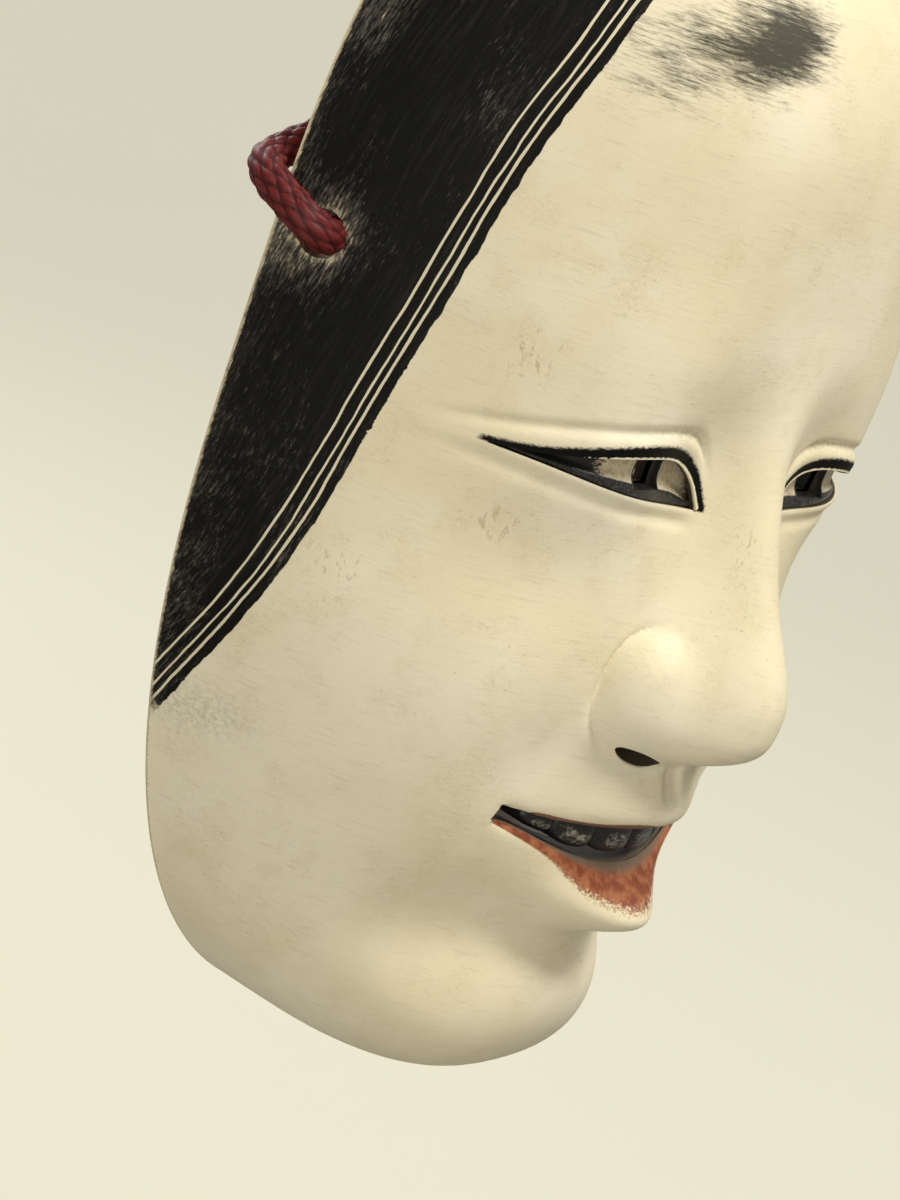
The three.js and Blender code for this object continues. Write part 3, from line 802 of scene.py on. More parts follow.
def tooth_paint():
    """Blackened teeth, rubbed grey on their crowns."""
    p = Paint("blackened teeth")
    crown = p.attribute("crown")
    rub = p.noise(p.stretched(0.5, 0.5, 0.9), 8, 0.8, 0.6)
    worn = p.between(p.add(rub, p.times(crown, 0.30)), 0.75, 0.95)
    colour = p.mix(worn, (0.009, 0.009, 0.008), (0.40, 0.37, 0.29))
    return p.finish(colour, p.blend(worn, 0.22, 0.5), rub, relief=0.1 * MM, strength=0.5)


def cypress_wood():
    """Old cypress: straight grain that runs up the mask, darkened with handling."""
    p = Paint("cypress")
    rings = p.noise(p.stretched(0.9, 0.5, 0.035), 6, 0.6, 0.6)
    fibre = p.noise(p.stretched(4.0, 3.0, 0.12), 5, 0.6)
    stain = p.noise(p.stretched(0.06, 0.06, 0.06), 4, 0.6)
    colour = p.mix(p.between(rings, 0.38, 0.64), (0.30, 0.165, 0.075), (0.16, 0.078, 0.033))
    colour = p.mix(p.times(p.between(fibre, 0.5, 0.75), 0.5), colour, (0.09, 0.042, 0.018))
    colour = p.mix(p.times(p.between(stain, 0.45, 0.7), 0.6), colour, (0.05, 0.028, 0.015))
    # the openings are painted black; on the lower lip's wall the pale grey at the lip darkens further in, a
    # painted shade
    further_in = p.between(p.add(p.attribute("sunk"), p.times(stain, 1.5)), 2.2, 4.2)
    wall = p.mix(further_in, MOUTH_GREY, (0.010, 0.008, 0.006))
    colour = p.mix(p.attribute("painted"), colour, wall)
    height = p.add(p.times(rings, 0.5), p.times(fibre, 0.5))
    return p.finish(colour, p.add(0.42, p.times(fibre, 0.3)), height, relief=0.15 * MM, strength=0.6)


def hollow_lacquer():
    """Brown-black lacquer over the gouge marks of the hollow, rubbed on its ridges."""
    p = Paint("lacquer")
    cloud = p.noise(p.stretched(0.05, 0.05, 0.05), 5, 0.6)
    grain = p.noise(p.stretched(1.5, 1.2, 0.08), 6, 0.6, 0.4)
    rub = p.between(p.add(p.attribute("ridge"), p.times(p.off_middle(cloud), 0.8)), 0.55, 0.95)
    colour = p.mix(p.between(cloud, 0.35, 0.65), (0.035, 0.014, 0.008), (0.075, 0.027, 0.012))
    colour = p.mix(p.times(p.between(grain, 0.5, 0.75), 0.35), colour, (0.02, 0.009, 0.006))
    colour = p.mix(p.times(rub, 0.55), colour, (0.17, 0.072, 0.03))
    dust = p.noise(p.stretched(0.9, 0.9, 0.9), 6, 0.75)
    colour = p.mix(p.times(p.between(dust, 0.6, 0.78), 0.35), colour, (0.16, 0.12, 0.08))
    roughness = p.add(0.24, p.times(cloud, 0.2), p.times(rub, 0.15))
    return p.finish(colour, roughness, p.add(p.times(grain, 0.5), p.times(dust, 0.3)), relief=0.08 * MM,
                    strength=0.5, Coat_Weight=0.35, Coat_Roughness=0.2)


def red_silk():
    """Dark red silk strands with a lengthwise fibre, with painted shade in the valleys of the braid."""
    p = Paint("red silk")
    lift = p.attribute("lift")
    fibre_place = p.vector(p.times(p.attribute("fibre"), 7.0), p.times(p.attribute("run"), 0.5), 0.0)
    fibre = p.noise(fibre_place, 4, 0.6)
    cloud = p.noise(p.stretched(0.25, 0.25, 0.25), 3)
    colour = p.mix(p.between(fibre, 0.35, 0.7), (0.085, 0.005, 0.006), (0.17, 0.014, 0.013))
    colour = p.mix(p.times(p.between(cloud, 0.45, 0.7), 0.4), colour, (0.15, 0.02, 0.014))
    # painted shade: the valleys between the strands are darkened
    colour = p.mix(p.times(p.between(lift, 0.62, 0.2), 0.85), colour, (0.03, 0.002, 0.003))
    return p.finish(colour, p.add(0.46, p.times(fibre, 0.2)), fibre, relief=0.05 * MM, strength=0.5,
                    Specular_IOR_Level=0.3)


THREAD_PITCH = 0.75


def cotton_cloth():
    """Plain-woven cotton, faintly stained."""
    p = Paint("cotton")
    warp, weft = (p.math("SINE", p.times(p.attribute(name), 2 * math.pi / THREAD_PITCH))
                  for name in ("warp", "weft"))
    weave = p.add(0.5, p.times(warp, weft, 0.5))
    cloud = p.noise(p.stretched(0.12, 0.12, 0.12), 5, 0.65)
    lint = p.noise(p.stretched(2.5, 2.5, 2.5), 5, 0.7)
    colour = p.mix(weave, (0.40, 0.33, 0.22), (0.62, 0.55, 0.42))
    colour = p.mix(p.times(p.between(cloud, 0.45, 0.7), 0.6), colour, (0.34, 0.24, 0.13))
    height = p.add(p.times(weave, 0.8), p.times(lint, 0.4))
    return p.finish(colour, 0.86, height, relief=0.14 * MM, strength=0.9, Sheen_Weight=0.25,
                    Sheen_Roughness=0.6)


def studio_paper():
    p = Paint("studio paper")
    cloud = p.noise(p.stretched(0.004, 0.004, 0.004), 3)
    colour = p.mix(cloud, (0.20, 0.185, 0.145), (0.22, 0.205, 0.16))
    return p.finish(colour, 0.9, Emission_Color=(1.0, 0.965, 0.775, 1), Emission_Strength=0.56)


# ------------------------------------------------------------------ the cord
# The right half of the route, from its knot to the hanging point. The left half mirrors it.
CORD_SIDE_ROUTE = [
    (0.05801, -0.00467, -0.0480),
    (0.06216, -0.00641, -0.0480),
    (0.06780, -0.00870, -0.0476),
    (0.07020, -0.00760, -0.0464),
    (0.07120, -0.00410, -0.0447),
    (0.07150, -0.00030, -0.0430),
    (0.06990, 0.00310, -0.0414),
    (0.06630, 0.00450, -0.0398),
    (0.06000, 0.00440, -0.0366),
    (0.04800, 0.00350, -0.0293),
    (0.03100, 0.00230, -0.0190),
    (0.01300, 0.00100, -0.0080),
    (0.00500, 0.00030, -0.0026),
]
BRAID_STRANDS = 8
BRAID_PITCH = 2.1 * MM
BRAID_STEP = 0.36 * MM
KNOT_DIAMETER = 4.3
KNOT_LOOP, KNOT_DEPTH = 1.45, 2.3


def smooth_path(points, spacing, closed=False):
    """A centripetal Catmull-Rom curve through points, resampled at equal spacing."""
    points = np.array(points, float)
    if closed:
        points = np.concatenate([points[-1:], points, points[:2]])
    else:
        points = np.concatenate([[2 * points[0] - points[1]], points, [2 * points[-1] - points[-2]]])
    fine = []
    for i in range(1, len(points) - 2):
        p0, p1, p2, p3 = points[i - 1:i + 3]
        d0, d1, d2 = (max(np.linalg.norm(b - a) ** 0.5, 1e-6)
                      for a, b in ((p0, p1), (p1, p2), (p2, p3)))
        m1 = ((p1 - p0) / d0 - (p2 - p0) / (d0 + d1) + (p2 - p1) / d1) * d1
        m2 = ((p2 - p1) / d1 - (p3 - p1) / (d1 + d2) + (p3 - p2) / d2) * d1
        for t in np.arange(40) / 40:
            fine.append((2 * t ** 3 - 3 * t ** 2 + 1) * p1 + (t ** 3 - 2 * t ** 2 + t) * m1
                        + (3 * t ** 2 - 2 * t ** 3) * p2 + (t ** 3 - t ** 2) * m2)
    fine.append(points[-2])
    fine = np.array(fine)
    run = np.concatenate([[0], np.cumsum(np.linalg.norm(np.diff(fine, axis=0), axis=1))])
    count = int(round(run[-1] / spacing))
    at = np.linspace(0, run[-1], count + 1)
    return np.stack([np.interp(at, run, fine[:, k]) for k in range(3)], -1), run[-1]


def frames_along(path, closed=False):
    """The path's direction and two square to it at each point, carried along without twist."""
    tangents = np.gradient(path, axis=0)
    if closed:
        tangents[0] = tangents[-1] = path[1] - path[-2]
    tangents /= np.linalg.norm(tangents, axis=1, keepdims=True)
    one = np.cross(tangents[0], (0.3, 0.2, 1.0))
    ones = []
    for tangent in tangents:
        one = one - tangent * (one @ tangent)
        one /= np.linalg.norm(one)
        ones.append(one)
    ones = np.array(ones)
    twos = np.cross(tangents, ones)
    if closed:
        # the last ring is turned onto the first
        turn = math.atan2(ones[-1] @ twos[0], ones[-1] @ ones[0])
        angles = -turn * np.arange(len(path)) / (len(path) - 1)
        cos, sin = np.cos(angles)[:, None], np.sin(angles)[:, None]
        ones, twos = ones * cos + twos * sin, twos * cos - ones * sin
    return tangents, ones, twos


def tube_points(path, ones, twos, angle, radius):
    """The points of a tube, ring by ring, with a radius for each ring and angle."""
    round_it = ones[:, None] * np.cos(angle)[..., None] + twos[:, None] * np.sin(angle)[..., None]
    return (path[:, None] + round_it * radius[..., None]).reshape(-1, 3)


def tube_faces(rings, sides, closed):
    """The quads between the rings of a tube, which has flat ends unless it closes on itself."""
    faces = []
    for r in range(rings if closed else rings - 1):
        here = r * sides
        following = (r + 1) % rings * sides
        for s in range(sides):
            t = (s + 1) % sides
            faces.append((here + s, here + t, following + t, following + s))
    if not closed:
        faces.append(tuple(range(sides - 1, -1, -1)))
        faces.append(tuple(range((rings - 1) * sides, rings * sides)))
    return faces


def angles_round(sides):
    return 2 * np.pi * np.arange(sides)[None, :] / sides


def braided_tube(name, points, diameter, closed=False, sides=70, strands=BRAID_STRANDS):
    """A round braid: strands of both hands pass over and under each other along the path."""
    path, length = smooth_path(points, BRAID_STEP, closed)
    _, ones, twos = frames_along(path, closed)
    rings = len(path) - (1 if closed else 0)
    angle = angles_round(sides)
    run = np.arange(rings)[:, None] * length / (len(path) - 1)
    lengthwise = run * round(length / BRAID_PITCH) / length
    around = strands * angle / (2 * np.pi)
    right = around + lengthwise / 2
    left = around - lengthwise / 2
    right_place = right - np.floor(right)
    left_place = left - np.floor(left)
    right_over = (np.floor(right) + np.floor(left)) % 2 == 0
    across = np.where(right_over, right_place, left_place)
    onward = np.where(right_over, left_place, right_place)
    lift = (1 - np.abs(2 * across - 1) ** 2.4) * (0.35 + 0.65 * np.sin(np.pi * onward))
    radius = diameter / 2 * (0.84 + 0.18 * np.clip(lift, 0, 1) ** 0.8)
    vertices = tube_points(path[:rings], ones[:rings], twos[:rings], angle, radius)
    tube = new_object(name, vertices, tube_faces(rings, sides, closed))
    outward(tube)
    store(tube, "lift", lift.ravel())
    store(tube, "fibre", across.ravel())
    store(tube, "run", (onward + np.floor(lengthwise)).ravel())
    return tube, path, length


def build_cord(silk):
    half = [np.array(p) for p in CORD_SIDE_ROUTE]
    mirrored = [p * (-1, 1, 1) for p in half]
    route = mirrored + [np.zeros(3)] + half[::-1]
    cord, path, length = braided_tube("hanging_cord_braid", route, CORD_DIAMETER * MM)
    dress(cord, silk)
    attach(cord, "root")
    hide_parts("hanging_cord")
    return cord, path, length


def build_knot(name, side, silk):
    """An overhand knot tied in the cord's end, drawn tight against the hollow."""
    low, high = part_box(f"cord_knot_{name}")
    centre = (low + high) / 2
    out = hole_out(side)
    up = Vector((0, 0, 1))
    across = out.cross(up)
    points = []
    steps = 26
    for i in range(steps):
        t = 2 * math.pi * i / steps
        a = KNOT_LOOP * (math.sin(t) + 1.9 * math.sin(2 * t))
        b = KNOT_LOOP * (math.cos(t) - 1.9 * math.cos(2 * t))
        c = -KNOT_DEPTH * math.sin(3 * t)
        points.append(centre + (across * a + up * b + out * c) * MM)
    knot, _, _ = braided_tube(f"cord_knot_{name}_tied", points, KNOT_DIAMETER * MM, True, sides=56,
                              strands=6)
    dress(knot, silk)
    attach(knot, "root")
    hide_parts(f"cord_knot_{name}")
    return knot


# ------------------------------------------------------------------ the layers
def hairline_tree():
    """The hairline as points on the surface, each with its length along the line."""
    path, _ = smooth_path([(x, 0, z) for x, z in HAIRLINE], 0.5)
    x, z = path[:, 0], path[:, 2]
    line = canon_to_frame(x, face_depth(x, z), z)
    tree = KDTree(len(line))
    for i, point in enumerate(line):
        tree.insert(point, i)
    tree.balance()
    run = np.concatenate([[0], np.cumsum(np.linalg.norm(np.diff(line, axis=0), axis=1))]) / MM
    return tree, run, x, z


def outline_distance(x, z, curve_x, curve_z):
    """Distance from points to a curve in the plane of the face, in canon millimetres."""
    nearest = np.full(len(x), 1e9)
    for a, b in zip(curve_x, curve_z):
        nearest = np.minimum(nearest, (x - a) ** 2 + (z - b) ** 2)
    return np.sqrt(nearest)


# grime on the near half: x and z, and how far it spreads; scuffs: x and z, half width and half height
STAINS = ((40.9, 143.7, 2.2), (23.4, 146.3, 1.1), (9.0, 150.0, 1.4))
SCUFFS = ((44.1, 102.9, 3.0, 2.6), (4.6, 105.9, 1.6, 4.0), (57, 90, 3, 3), (48, 128, 2.5, 4))


def store_paint(thing):
    """Everything the gesso paint reads, from where each vertex lies on the carved face."""
    points = points_of(thing)
    x, depth, z = frame_to_canon(points)
    side = np.abs(x)
    in_front = depth > 30
    tree, run, line_x, line_z = hairline_tree()
    distance = np.empty(len(points))
    along = np.empty(len(points))
    for i, (px, py, pz) in enumerate(points):
        _, index, far = tree.find((abs(px), py, pz))
        distance[i] = far / MM
        along[i] = run[index]
    order = np.argsort(line_z)
    boundary = np.interp(z, line_z[order], line_x[order])
    outside = np.where(z > line_z.max(), True, side > boundary)
    store(thing, "hair", np.where(outside, distance, -distance))
    store(thing, "along", along + np.where(x > 0, 400, 0))
    store(thing, "side", side)
    store(thing, "up", z)
    store(thing, "sunk", np.maximum(worked_depth(x, z) - depth, 0) * ramp(depth, 2, 8))
    rim_x = half_width(z)
    store(thing, "rim", np.minimum(depth, np.hypot(rim_x - side, depth)))
    holes = [np.linalg.norm(points - np.array(hole_outer(s)), axis=1) / MM for _, s in SIDES]
    store(thing, "hole", np.minimum(*holes))
    # brows
    lean = (side - 33) * 0.42
    tilt = z - 177.5 + lean * 1.1
    brow = np.exp(-np.abs((side - 35.5) / 17) ** 3 - np.abs(tilt / 9.5) ** 2.6)
    core = np.exp(-((side - 26.5) / 9) ** 2 - ((z - 179.5 + (side - 26) * 0.25) / 5.5) ** 2)
    store(thing, "brow", np.clip(0.66 * brow + 0.55 * core, 0, 1.2))
    # lips
    low_edge, border = lower_lip(side), lip_border(side)
    lip = (low_edge - z) / np.maximum(low_edge - border, 0.4)
    store(thing, "lip", np.clip(lip, -1, 3))
    store(thing, "front_lip", 0.15 + 0.85 * ramp(side, 19, 12))
    on_lip = (side < MOUTH_CORNER - 0.5) & (lip > -0.6) & (lip < 1.35)
    store(thing, "on_lip", on_lip & in_front)
    strip = 1.0 + 1.5 * np.exp(-((side - 5) / 5) ** 2)
    above = (z - upper_lip(side)) / strip
    fade = ramp(side, MOUTH_CORNER - 3, MOUTH_CORNER - 9)
    store(thing, "upper_red", np.where((above > -1.5) & in_front, ramp(above, 1.25, 0.2), 0) * fade)
    # upper lids
    lid_x = EYE_INNER + (EYE_OUTER - EYE_INNER) * (1 - np.cos(np.pi * np.arange(81) / 80)) / 2
    lid = outline_distance(side, z, lid_x, upper_lid(lid_x))
    store(thing, "lid_line", lid)
    thickness = 0.75 + 1.35 * np.exp(-np.abs((side - 25) / 16) ** 2.5)
    store(thing, "lid_top", thickness)
    store(thing, "lid_bare", 0.05 + 0.40 * ramp(side, 42, 32))
    under_lid = (z < upper_lid(side)) & (side > EYE_INNER + 0.3)
    near_eye = (lid < 4) & (z > 109.8) & (depth > 20) & ~((side < EYE_INNER) & (z < 110.4))
    store(thing, "on_lid", near_eye & ~(under_lid & (z < lower_lid(side) + 0.1)))
    # painted shade in the lid crease; grime at the lower end of the hair and in small stains
    crease = np.exp(-((z - lid_crease(side)) / 0.8) ** 2)
    shade_and_grime_amount = 0.32 * ramp(side, 44, 26) + 0.55 * np.exp(-((side - 21) / 5) ** 2)
    grime_and_crease_shade = crease * shade_and_grime_amount * ramp(side, 11, 17)
    grime_and_crease_shade += 0.6 * hill(side - 59.5, z - 60, 3.2, 5)
    for a, b, wide in STAINS:
        grime_and_crease_shade += 0.22 * hill(x + a, z - b, wide, wide * 1.6)
    store(thing, "grime_and_crease_shade", np.clip(grime_and_crease_shade, 0, 1))
    store(thing, "ticks", sum(hill(x + a, z - b, wide, tall, 4) for a, b, wide, tall in SCUFFS))
    opening = (side < EYE_OUTER + 2) & (z > 45) & (z < 122)
    store(thing, "opening", opening)


EYE_RECESS = 2.2


def thicker_at_wings(x, z):
    """The gesso is built up behind the creases round the nostril wings."""
    return 1.6 * hill(np.abs(x) - 11, z - 80, 15, 15, 4)


def build_coat(openings, gesso):
    """The gesso face: one closed layer, finely carved in front."""
    _, _, front = surface_grid(ROWS, COLUMNS, worked_depth)
    x, z, plain = surface_grid(ROWS, COLUMNS, face_depth)
    rows, columns = every(len(ROWS), 4), every(len(COLUMNS), 4)
    behind = inset(plain, (COAT_THICKNESS + thicker_at_wings(x, z)) * MM)[np.ix_(rows, columns)]
    coat = layer("face_coat_painted", front, behind, rows, columns)
    outward(coat)
    cut(coat, openings)
    soften(coat, 38)
    store_paint(coat)
    dress(coat, gesso)
    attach(coat, "root")
    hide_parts("face_coat")
    return coat


def hollow_depth(x, z):
    nose = HOLLOW_NOSE * hill(x, z - 86, 11, 17)
    return (oval_depth(x, z) - 0.9 * jaw_hollow(x, z) + nose) * (1 - SHELL_WALL / DEPTH / 0.77)


def drawn_in(x, depth, z):
    """Frame points of the hollow, for points whose x and z are given on the whole oval."""
    return canon_to_frame(x * HOLLOW_NARROWER, depth, RIM_WIDTH + z * HOLLOW_SHORTER)


def hollow_grid(rows, columns):
    """The hollow: the oval drawn in from the rim, with a deeper place behind the nose."""
    z = np.repeat(np.asarray(rows)[:, None], len(columns), 1)
    x = half_width(z) * np.asarray(columns)[None, :]
    depth = hollow_depth(x, z)
    depth[[0, -1]] = 0
    return drawn_in(x, depth, z), x, z


def from_pupil(side, z):
    """How far outside the square pupil hole, in canon millimetres, below 0 inside it."""
    return np.maximum(np.abs(side - PUPIL_X) - PUPIL_WIDTH / 2, np.abs(z - PUPIL_Z) - PUPIL_HEIGHT / 2)


def build_shell(openings, wood):
    """The carved wood between the coat and the hollow, sunk behind the eyes."""
    rows = ROWS[every(len(ROWS), 2)]
    columns = COLUMNS[every(len(COLUMNS), 2)]
    x, z, plain = surface_grid(rows, columns, face_depth)
    side = np.abs(x)
    eye = ramp(side, EYE_INNER - 3, EYE_INNER - 1) * ramp(side, EYE_OUTER + 4, EYE_OUTER + 1)
    eye *= ramp(z, lower_lid(side) - 3.5, lower_lid(side) - 1.5)
    eye *= ramp(z, upper_lid(side) + 3.5, upper_lid(side) + 1.5)
    coat = COAT_THICKNESS + thicker_at_wings(x, z)
    front = inset(plain, (coat + LAYER_GAP + EYE_RECESS * eye) * MM)
    back, _, _ = hollow_grid(rows, columns)
    shell = layer("wood_shell_carved", front, back)
    outward(shell)
    cut(shell, openings)
    soften(shell, 35)
    x, depth, z = frame_to_canon(points_of(shell))
    side = np.abs(x)
    in_mouth = (side < MOUTH_CORNER + 0.3) & (z > lower_lip(side) - 0.3) & (z < upper_lip(side) + 0.3)
    in_pupil = from_pupil(side, z) < 0.2
    in_nose = (side < 20) & (z > 66) & (z < 95)
    store(shell, "painted", in_mouth | in_pupil | in_nose)
    sunk = np.maximum(face_depth(x, z) - depth, 0)
    store(shell, "sunk", np.where(in_mouth & (z < 58), sunk, 9))
    dress(shell, wood)
    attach(shell, "root")
    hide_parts("wood_shell")
    return shell


def gouge_marks(x, z):
    """How far each point of the hollow stands up between rows of shallow gouge cuts, 0 to 1."""
    lane = (x + 2.2 * np.sin(z / 17)) / 5.6
    column = np.floor(lane)
    step = z / 11.5 + 0.5 * (column % 2) + 0.35 * np.sin(column * 2.3)
    along = 2 * (step - np.floor(step)) - 1
    across = 2 * (lane - column) - 1
    return np.clip(0.62 * np.abs(across) ** 2.2 + 0.45 * np.abs(along) ** 3, 0, 1)


def build_lining(openings, lacquer):
    """The lacquered inner surface, with its gouge marks."""
    rows = graded(EDGE, HEIGHT - EDGE, lambda z: min(0.95, closing_step(z)))
    columns = graded(-1, 1, lambda u: 0.0125)
    grid, x, z = hollow_grid(rows, columns)
    marks = gouge_marks(x, z)
    normals = normals_of(grid)
    fade = np.clip((COAT_HIGH.y - grid[..., 1]) / (10 * MM), 0, 1)
    front = inset(grid, np.full(x.shape, LAYER_GAP * MM), normals)
    back = inset(grid, (LAYER_GAP + LINING_THICKNESS + 0.55 * marks * fade) * MM, normals)
    lining = layer("lacquer_lining_gouged", front, back)
    store(lining, "ridge", np.concatenate([marks.ravel(), marks.ravel()]))
    outward(lining)
    cut(lining, openings)
    soften(lining, 50)
    dress(lining, lacquer)
    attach(lining, "root")
    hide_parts("lacquer_lining")
    return lining


EYEBALL_SETBACK, EYEBALL_SHOWS, EYEBALL_BACK = 2.7, 2.8, 4.6


def build_eyeball(name, side, pupil, paint):
    """The carved eye behind the lids, with the rolled black ledge of the lower lid."""
    across = np.linspace(EYE_INNER - 1.6, EYE_OUTER + 1.2, 130)
    upward = np.linspace(0, 1, 44)
    x = np.repeat(across[None, :], len(upward), 0)
    bottom = lower_lid(x) - 1.6
    top = upper_lid(x) + 1.6
    z = bottom + (top - bottom) * upward[:, None]
    ledge = z - lower_lid(x)
    opening = np.clip(upper_lid(x) - lower_lid(x), 0.2, 9)
    roll = np.exp(-np.abs((ledge - 0.35) / (0.25 * opening + 0.35)) ** 2.6)
    depth = face_depth(x, z) - EYEBALL_SETBACK + 1.5 * roll
    depth += 0.5 * np.exp(-((x - PUPIL_X) / 12) ** 2)
    front = canon_to_frame(side * x, depth, z)
    back = canon_to_frame(side * x, face_depth(x, z) - EYEBALL_BACK, z)
    if side < 0:
        front, back = front[:, ::-1], back[:, ::-1]
    eyeball = layer(f"eyeball_{name}", front, back)
    outward(eyeball)
    cut(eyeball, [pupil])
    soften(eyeball, 35)
    px, pd, pz = frame_to_canon(points_of(eyeball))
    px = np.abs(px)
    store(eyeball, "side", px)
    gap = np.clip(upper_lid(px) - lower_lid(px), 0.2, 9)
    store(eyeball, "ledge", (pz - lower_lid(px)) * np.clip(7 / (gap + 0.8), 1, 9))
    store(eyeball, "sunk", np.maximum(face_depth(px, pz) - EYEBALL_SHOWS - pd, 0))
    store(eyeball, "to_pupil", np.maximum(from_pupil(px, pz), 0))
    dress(eyeball, paint)
    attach(eyeball, "root")
    return eyeball


TOOTH_EDGES = (-22.0, -16.4, -8.5, -0.6, 7.6, 15.8, 22.0)


def build_teeth(paint):
    """The upper row of teeth as one carved block, grooved between the crowns."""
    across = np.linspace(TOOTH_EDGES[0], TOOTH_EDGES[-1], 240)
    upward = np.linspace(0, 1, 30)
    x = np.repeat(across[None, :], len(upward), 0)
    edges = np.array(TOOTH_EDGES)
    index = np.clip(np.searchsorted(edges, x, side="right") - 1, 0, len(edges) - 2)
    place = 2 * (x - edges[index]) / (edges[index + 1] - edges[index]) - 1
    crown = 1 - np.abs(place) ** 5
    bottom = teeth_edge(np.abs(x)) + 0.7 * np.abs(place) ** 4
    top = upper_lip(np.abs(x)) - 0.05
    bottom = np.minimum(bottom, top - 0.3)
    z = bottom + (top - bottom) * upward[:, None]
    rounding = np.exp(-upward[:, None] * 7)
    lip_front = face_depth(x, upper_lip(np.abs(x)))
    depth = lip_front - TEETH_SETBACK + 0.9 * crown - 1.2 * rounding
    front = canon_to_frame(x, depth, z)
    back = canon_to_frame(x, depth - 4.0, z)
    teeth = layer("upper_teeth", front, back)
    outward(teeth)
    worn = crown * (1 - np.abs(2 * upward[:, None] - 0.9) ** 2)
    store(teeth, "crown", np.concatenate([worn.ravel(), worn.ravel()]))
    soften(teeth, 50)
    dress(teeth, paint)
    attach(teeth, "root")
    return teeth


# ------------------------------------------------------------------ pads
# each pad's ends across, as shares of the half width, and its ends up the mask
PADS = {
    "forehead_pad": (-0.34, 0.34, 176, 192),
    "cheek_pad_left": (-0.74, -0.5, 64, 92),
    "cheek_pad_right": (0.5, 0.74, 64, 92),
}
PAD_THICKNESS = 9.0
PAD_BED = 1.9
PIPING_RADIUS = 0.62


def hollow_point(u, z):
    """A point of the hollow, u being its share of the half width."""
    z = np.asarray(z, float)
    x = half_width(z) * u
    return drawn_in(x, hollow_depth(x, z), z)


def pad_point(patch, a, b, lift):
    """A point of a pad: a and b from -1 to 1 across and up it, lift above the lining in mm."""
    u0, u1, z0, z1 = patch
    p = a * np.sqrt(1 - b * b / 2.6)
    q = b * np.sqrt(1 - a * a / 2.6)
    u = (u0 + u1) / 2 + p * (u1 - u0) / 2
    z = (z0 + z1) / 2 + q * (z1 - z0) / 2
    step = 0.01
    across = hollow_point(u + step, z) - hollow_point(u - step, z)
    up = hollow_point(u, z + 1) - hollow_point(u, z - 1)
    out = np.cross(across, up)
    out /= np.linalg.norm(out, axis=-1, keepdims=True)
    return hollow_point(u, z) - out * (lift * MM)[..., None]


def swell(pad):
    """Blows a pad up as cloth, then keeps the shape."""
    remesh = pad.modifiers.new("remesh", "REMESH")
    remesh.mode = "VOXEL"
    remesh.voxel_size = 0.9 * MM
    settle(pad)
    before = points_of(pad)
    cloth = pad.modifiers.new("cloth", "CLOTH")
    cloth.settings.quality = 6
    cloth.settings.use_pressure = True
    cloth.settings.uniform_pressure_force = 4
    cloth.settings.mass = 0.05
    cloth.settings.tension_stiffness = 12
    cloth.settings.compression_stiffness = 12
    cloth.settings.effector_weights.gravity = 0
    cloth.collision_settings.use_collision = False
    scene = bpy.context.scene
    for step in range(1, 13):
        scene.frame_set(step)
    settle(pad)
    scene.frame_set(1)
    moved = points_of(pad) - before
    far = np.linalg.norm(moved, axis=1, keepdims=True)
    cap = 0.8 * MM
    after = before + moved * np.minimum(1, cap / np.maximum(far, 1e-9))
    pad.data.vertices.foreach_set("co", after.ravel())
    pad.data.update()


def build_piping(name, patch, lift):
    """The corded edge round a pad's seam."""
    steps = np.linspace(-1, 1, 41)[:-1]
    edge = np.array([(1, t) for t in steps] + [(-t, 1) for t in steps]
                    + [(-1, -t) for t in steps] + [(t, -1) for t in steps])
    loop = pad_point(patch, edge[:, 0] * 0.93, edge[:, 1] * 0.93, np.full(len(edge), lift))
    path, _ = smooth_path(loop[::4], 0.5 * MM, closed=True)
    _, ones, twos = frames_along(path, closed=True)
    sides = 12
    rings = len(path) - 1
    angle = angles_round(sides)
    radius = PIPING_RADIUS * MM * (1 + 0.12 * np.sin(2 * angle + np.arange(rings)[:, None] * 0.9))
    vertices = tube_points(path[:rings], ones[:rings], twos[:rings], angle, radius)
    piping = new_object(f"{name}_piping", vertices, tube_faces(rings, sides, closed=True))
    outward(piping)
    return piping


def build_pad(name, patch, cloth):
    """A stuffed cotton pad with a piped seam, glued into the hollow."""
    steps = np.linspace(-1, 1, 41)
    a, b = np.meshgrid(steps * 0.95, steps * 0.95)
    reach = np.maximum(np.abs(a), np.abs(b)) / 0.95
    crown = np.sqrt(np.clip(1 - reach ** 3, 0, 1))
    pinch = 1 - 0.05 * (1 - np.minimum(np.abs(a), np.abs(b))) * reach
    seam = 0.42 * PAD_THICKNESS
    high = PAD_BED + seam + (PAD_THICKNESS - 1.2 - seam) * crown
    low = PAD_BED + seam - (seam - 0.3) * crown ** 0.6
    top = pad_point(patch, a * pinch, b * pinch, high)
    bottom = pad_point(patch, a * pinch, b * pinch, low)
    pad = layer(f"{name}_stuffed", bottom, top)
    outward(pad)
    swell(pad)
    extra = pad.modifiers.new("smooth", "SUBSURF")
    extra.levels = 1
    settle(pad)
    piping = build_piping(name, patch, PAD_BED + seam)
    for piece in (pad, piping):
        x, _, z = frame_to_canon(points_of(piece))
        store(piece, "warp", x)
        store(piece, "weft", z)
        piece.data.shade_smooth()
        dress(piece, cloth)
        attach(piece, "root")
    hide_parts(name)
    return pad


# ------------------------------------------------------------------ camera, lights and floor
AIM = Vector((-0.0307, -0.0243, -0.0968))
AZIMUTH, ELEVATION, ROLL = (math.radians(a) for a in (55.5, 15.0, 19.6))
DISTANCE = 0.381


def camera_axes():
    """The picture's right and up, and the direction from what is seen back to the camera."""
    flat = math.cos(ELEVATION)
    back = Vector((-math.sin(AZIMUTH) * flat, -math.cos(AZIMUTH) * flat, math.sin(ELEVATION)))
    level = (-back).cross(Vector((0, 0, 1))).normalized()
    upright = level.cross(-back)
    right = level * math.cos(ROLL) + upright * math.sin(ROLL)
    up = upright * math.cos(ROLL) - level * math.sin(ROLL)
    return right, up, back


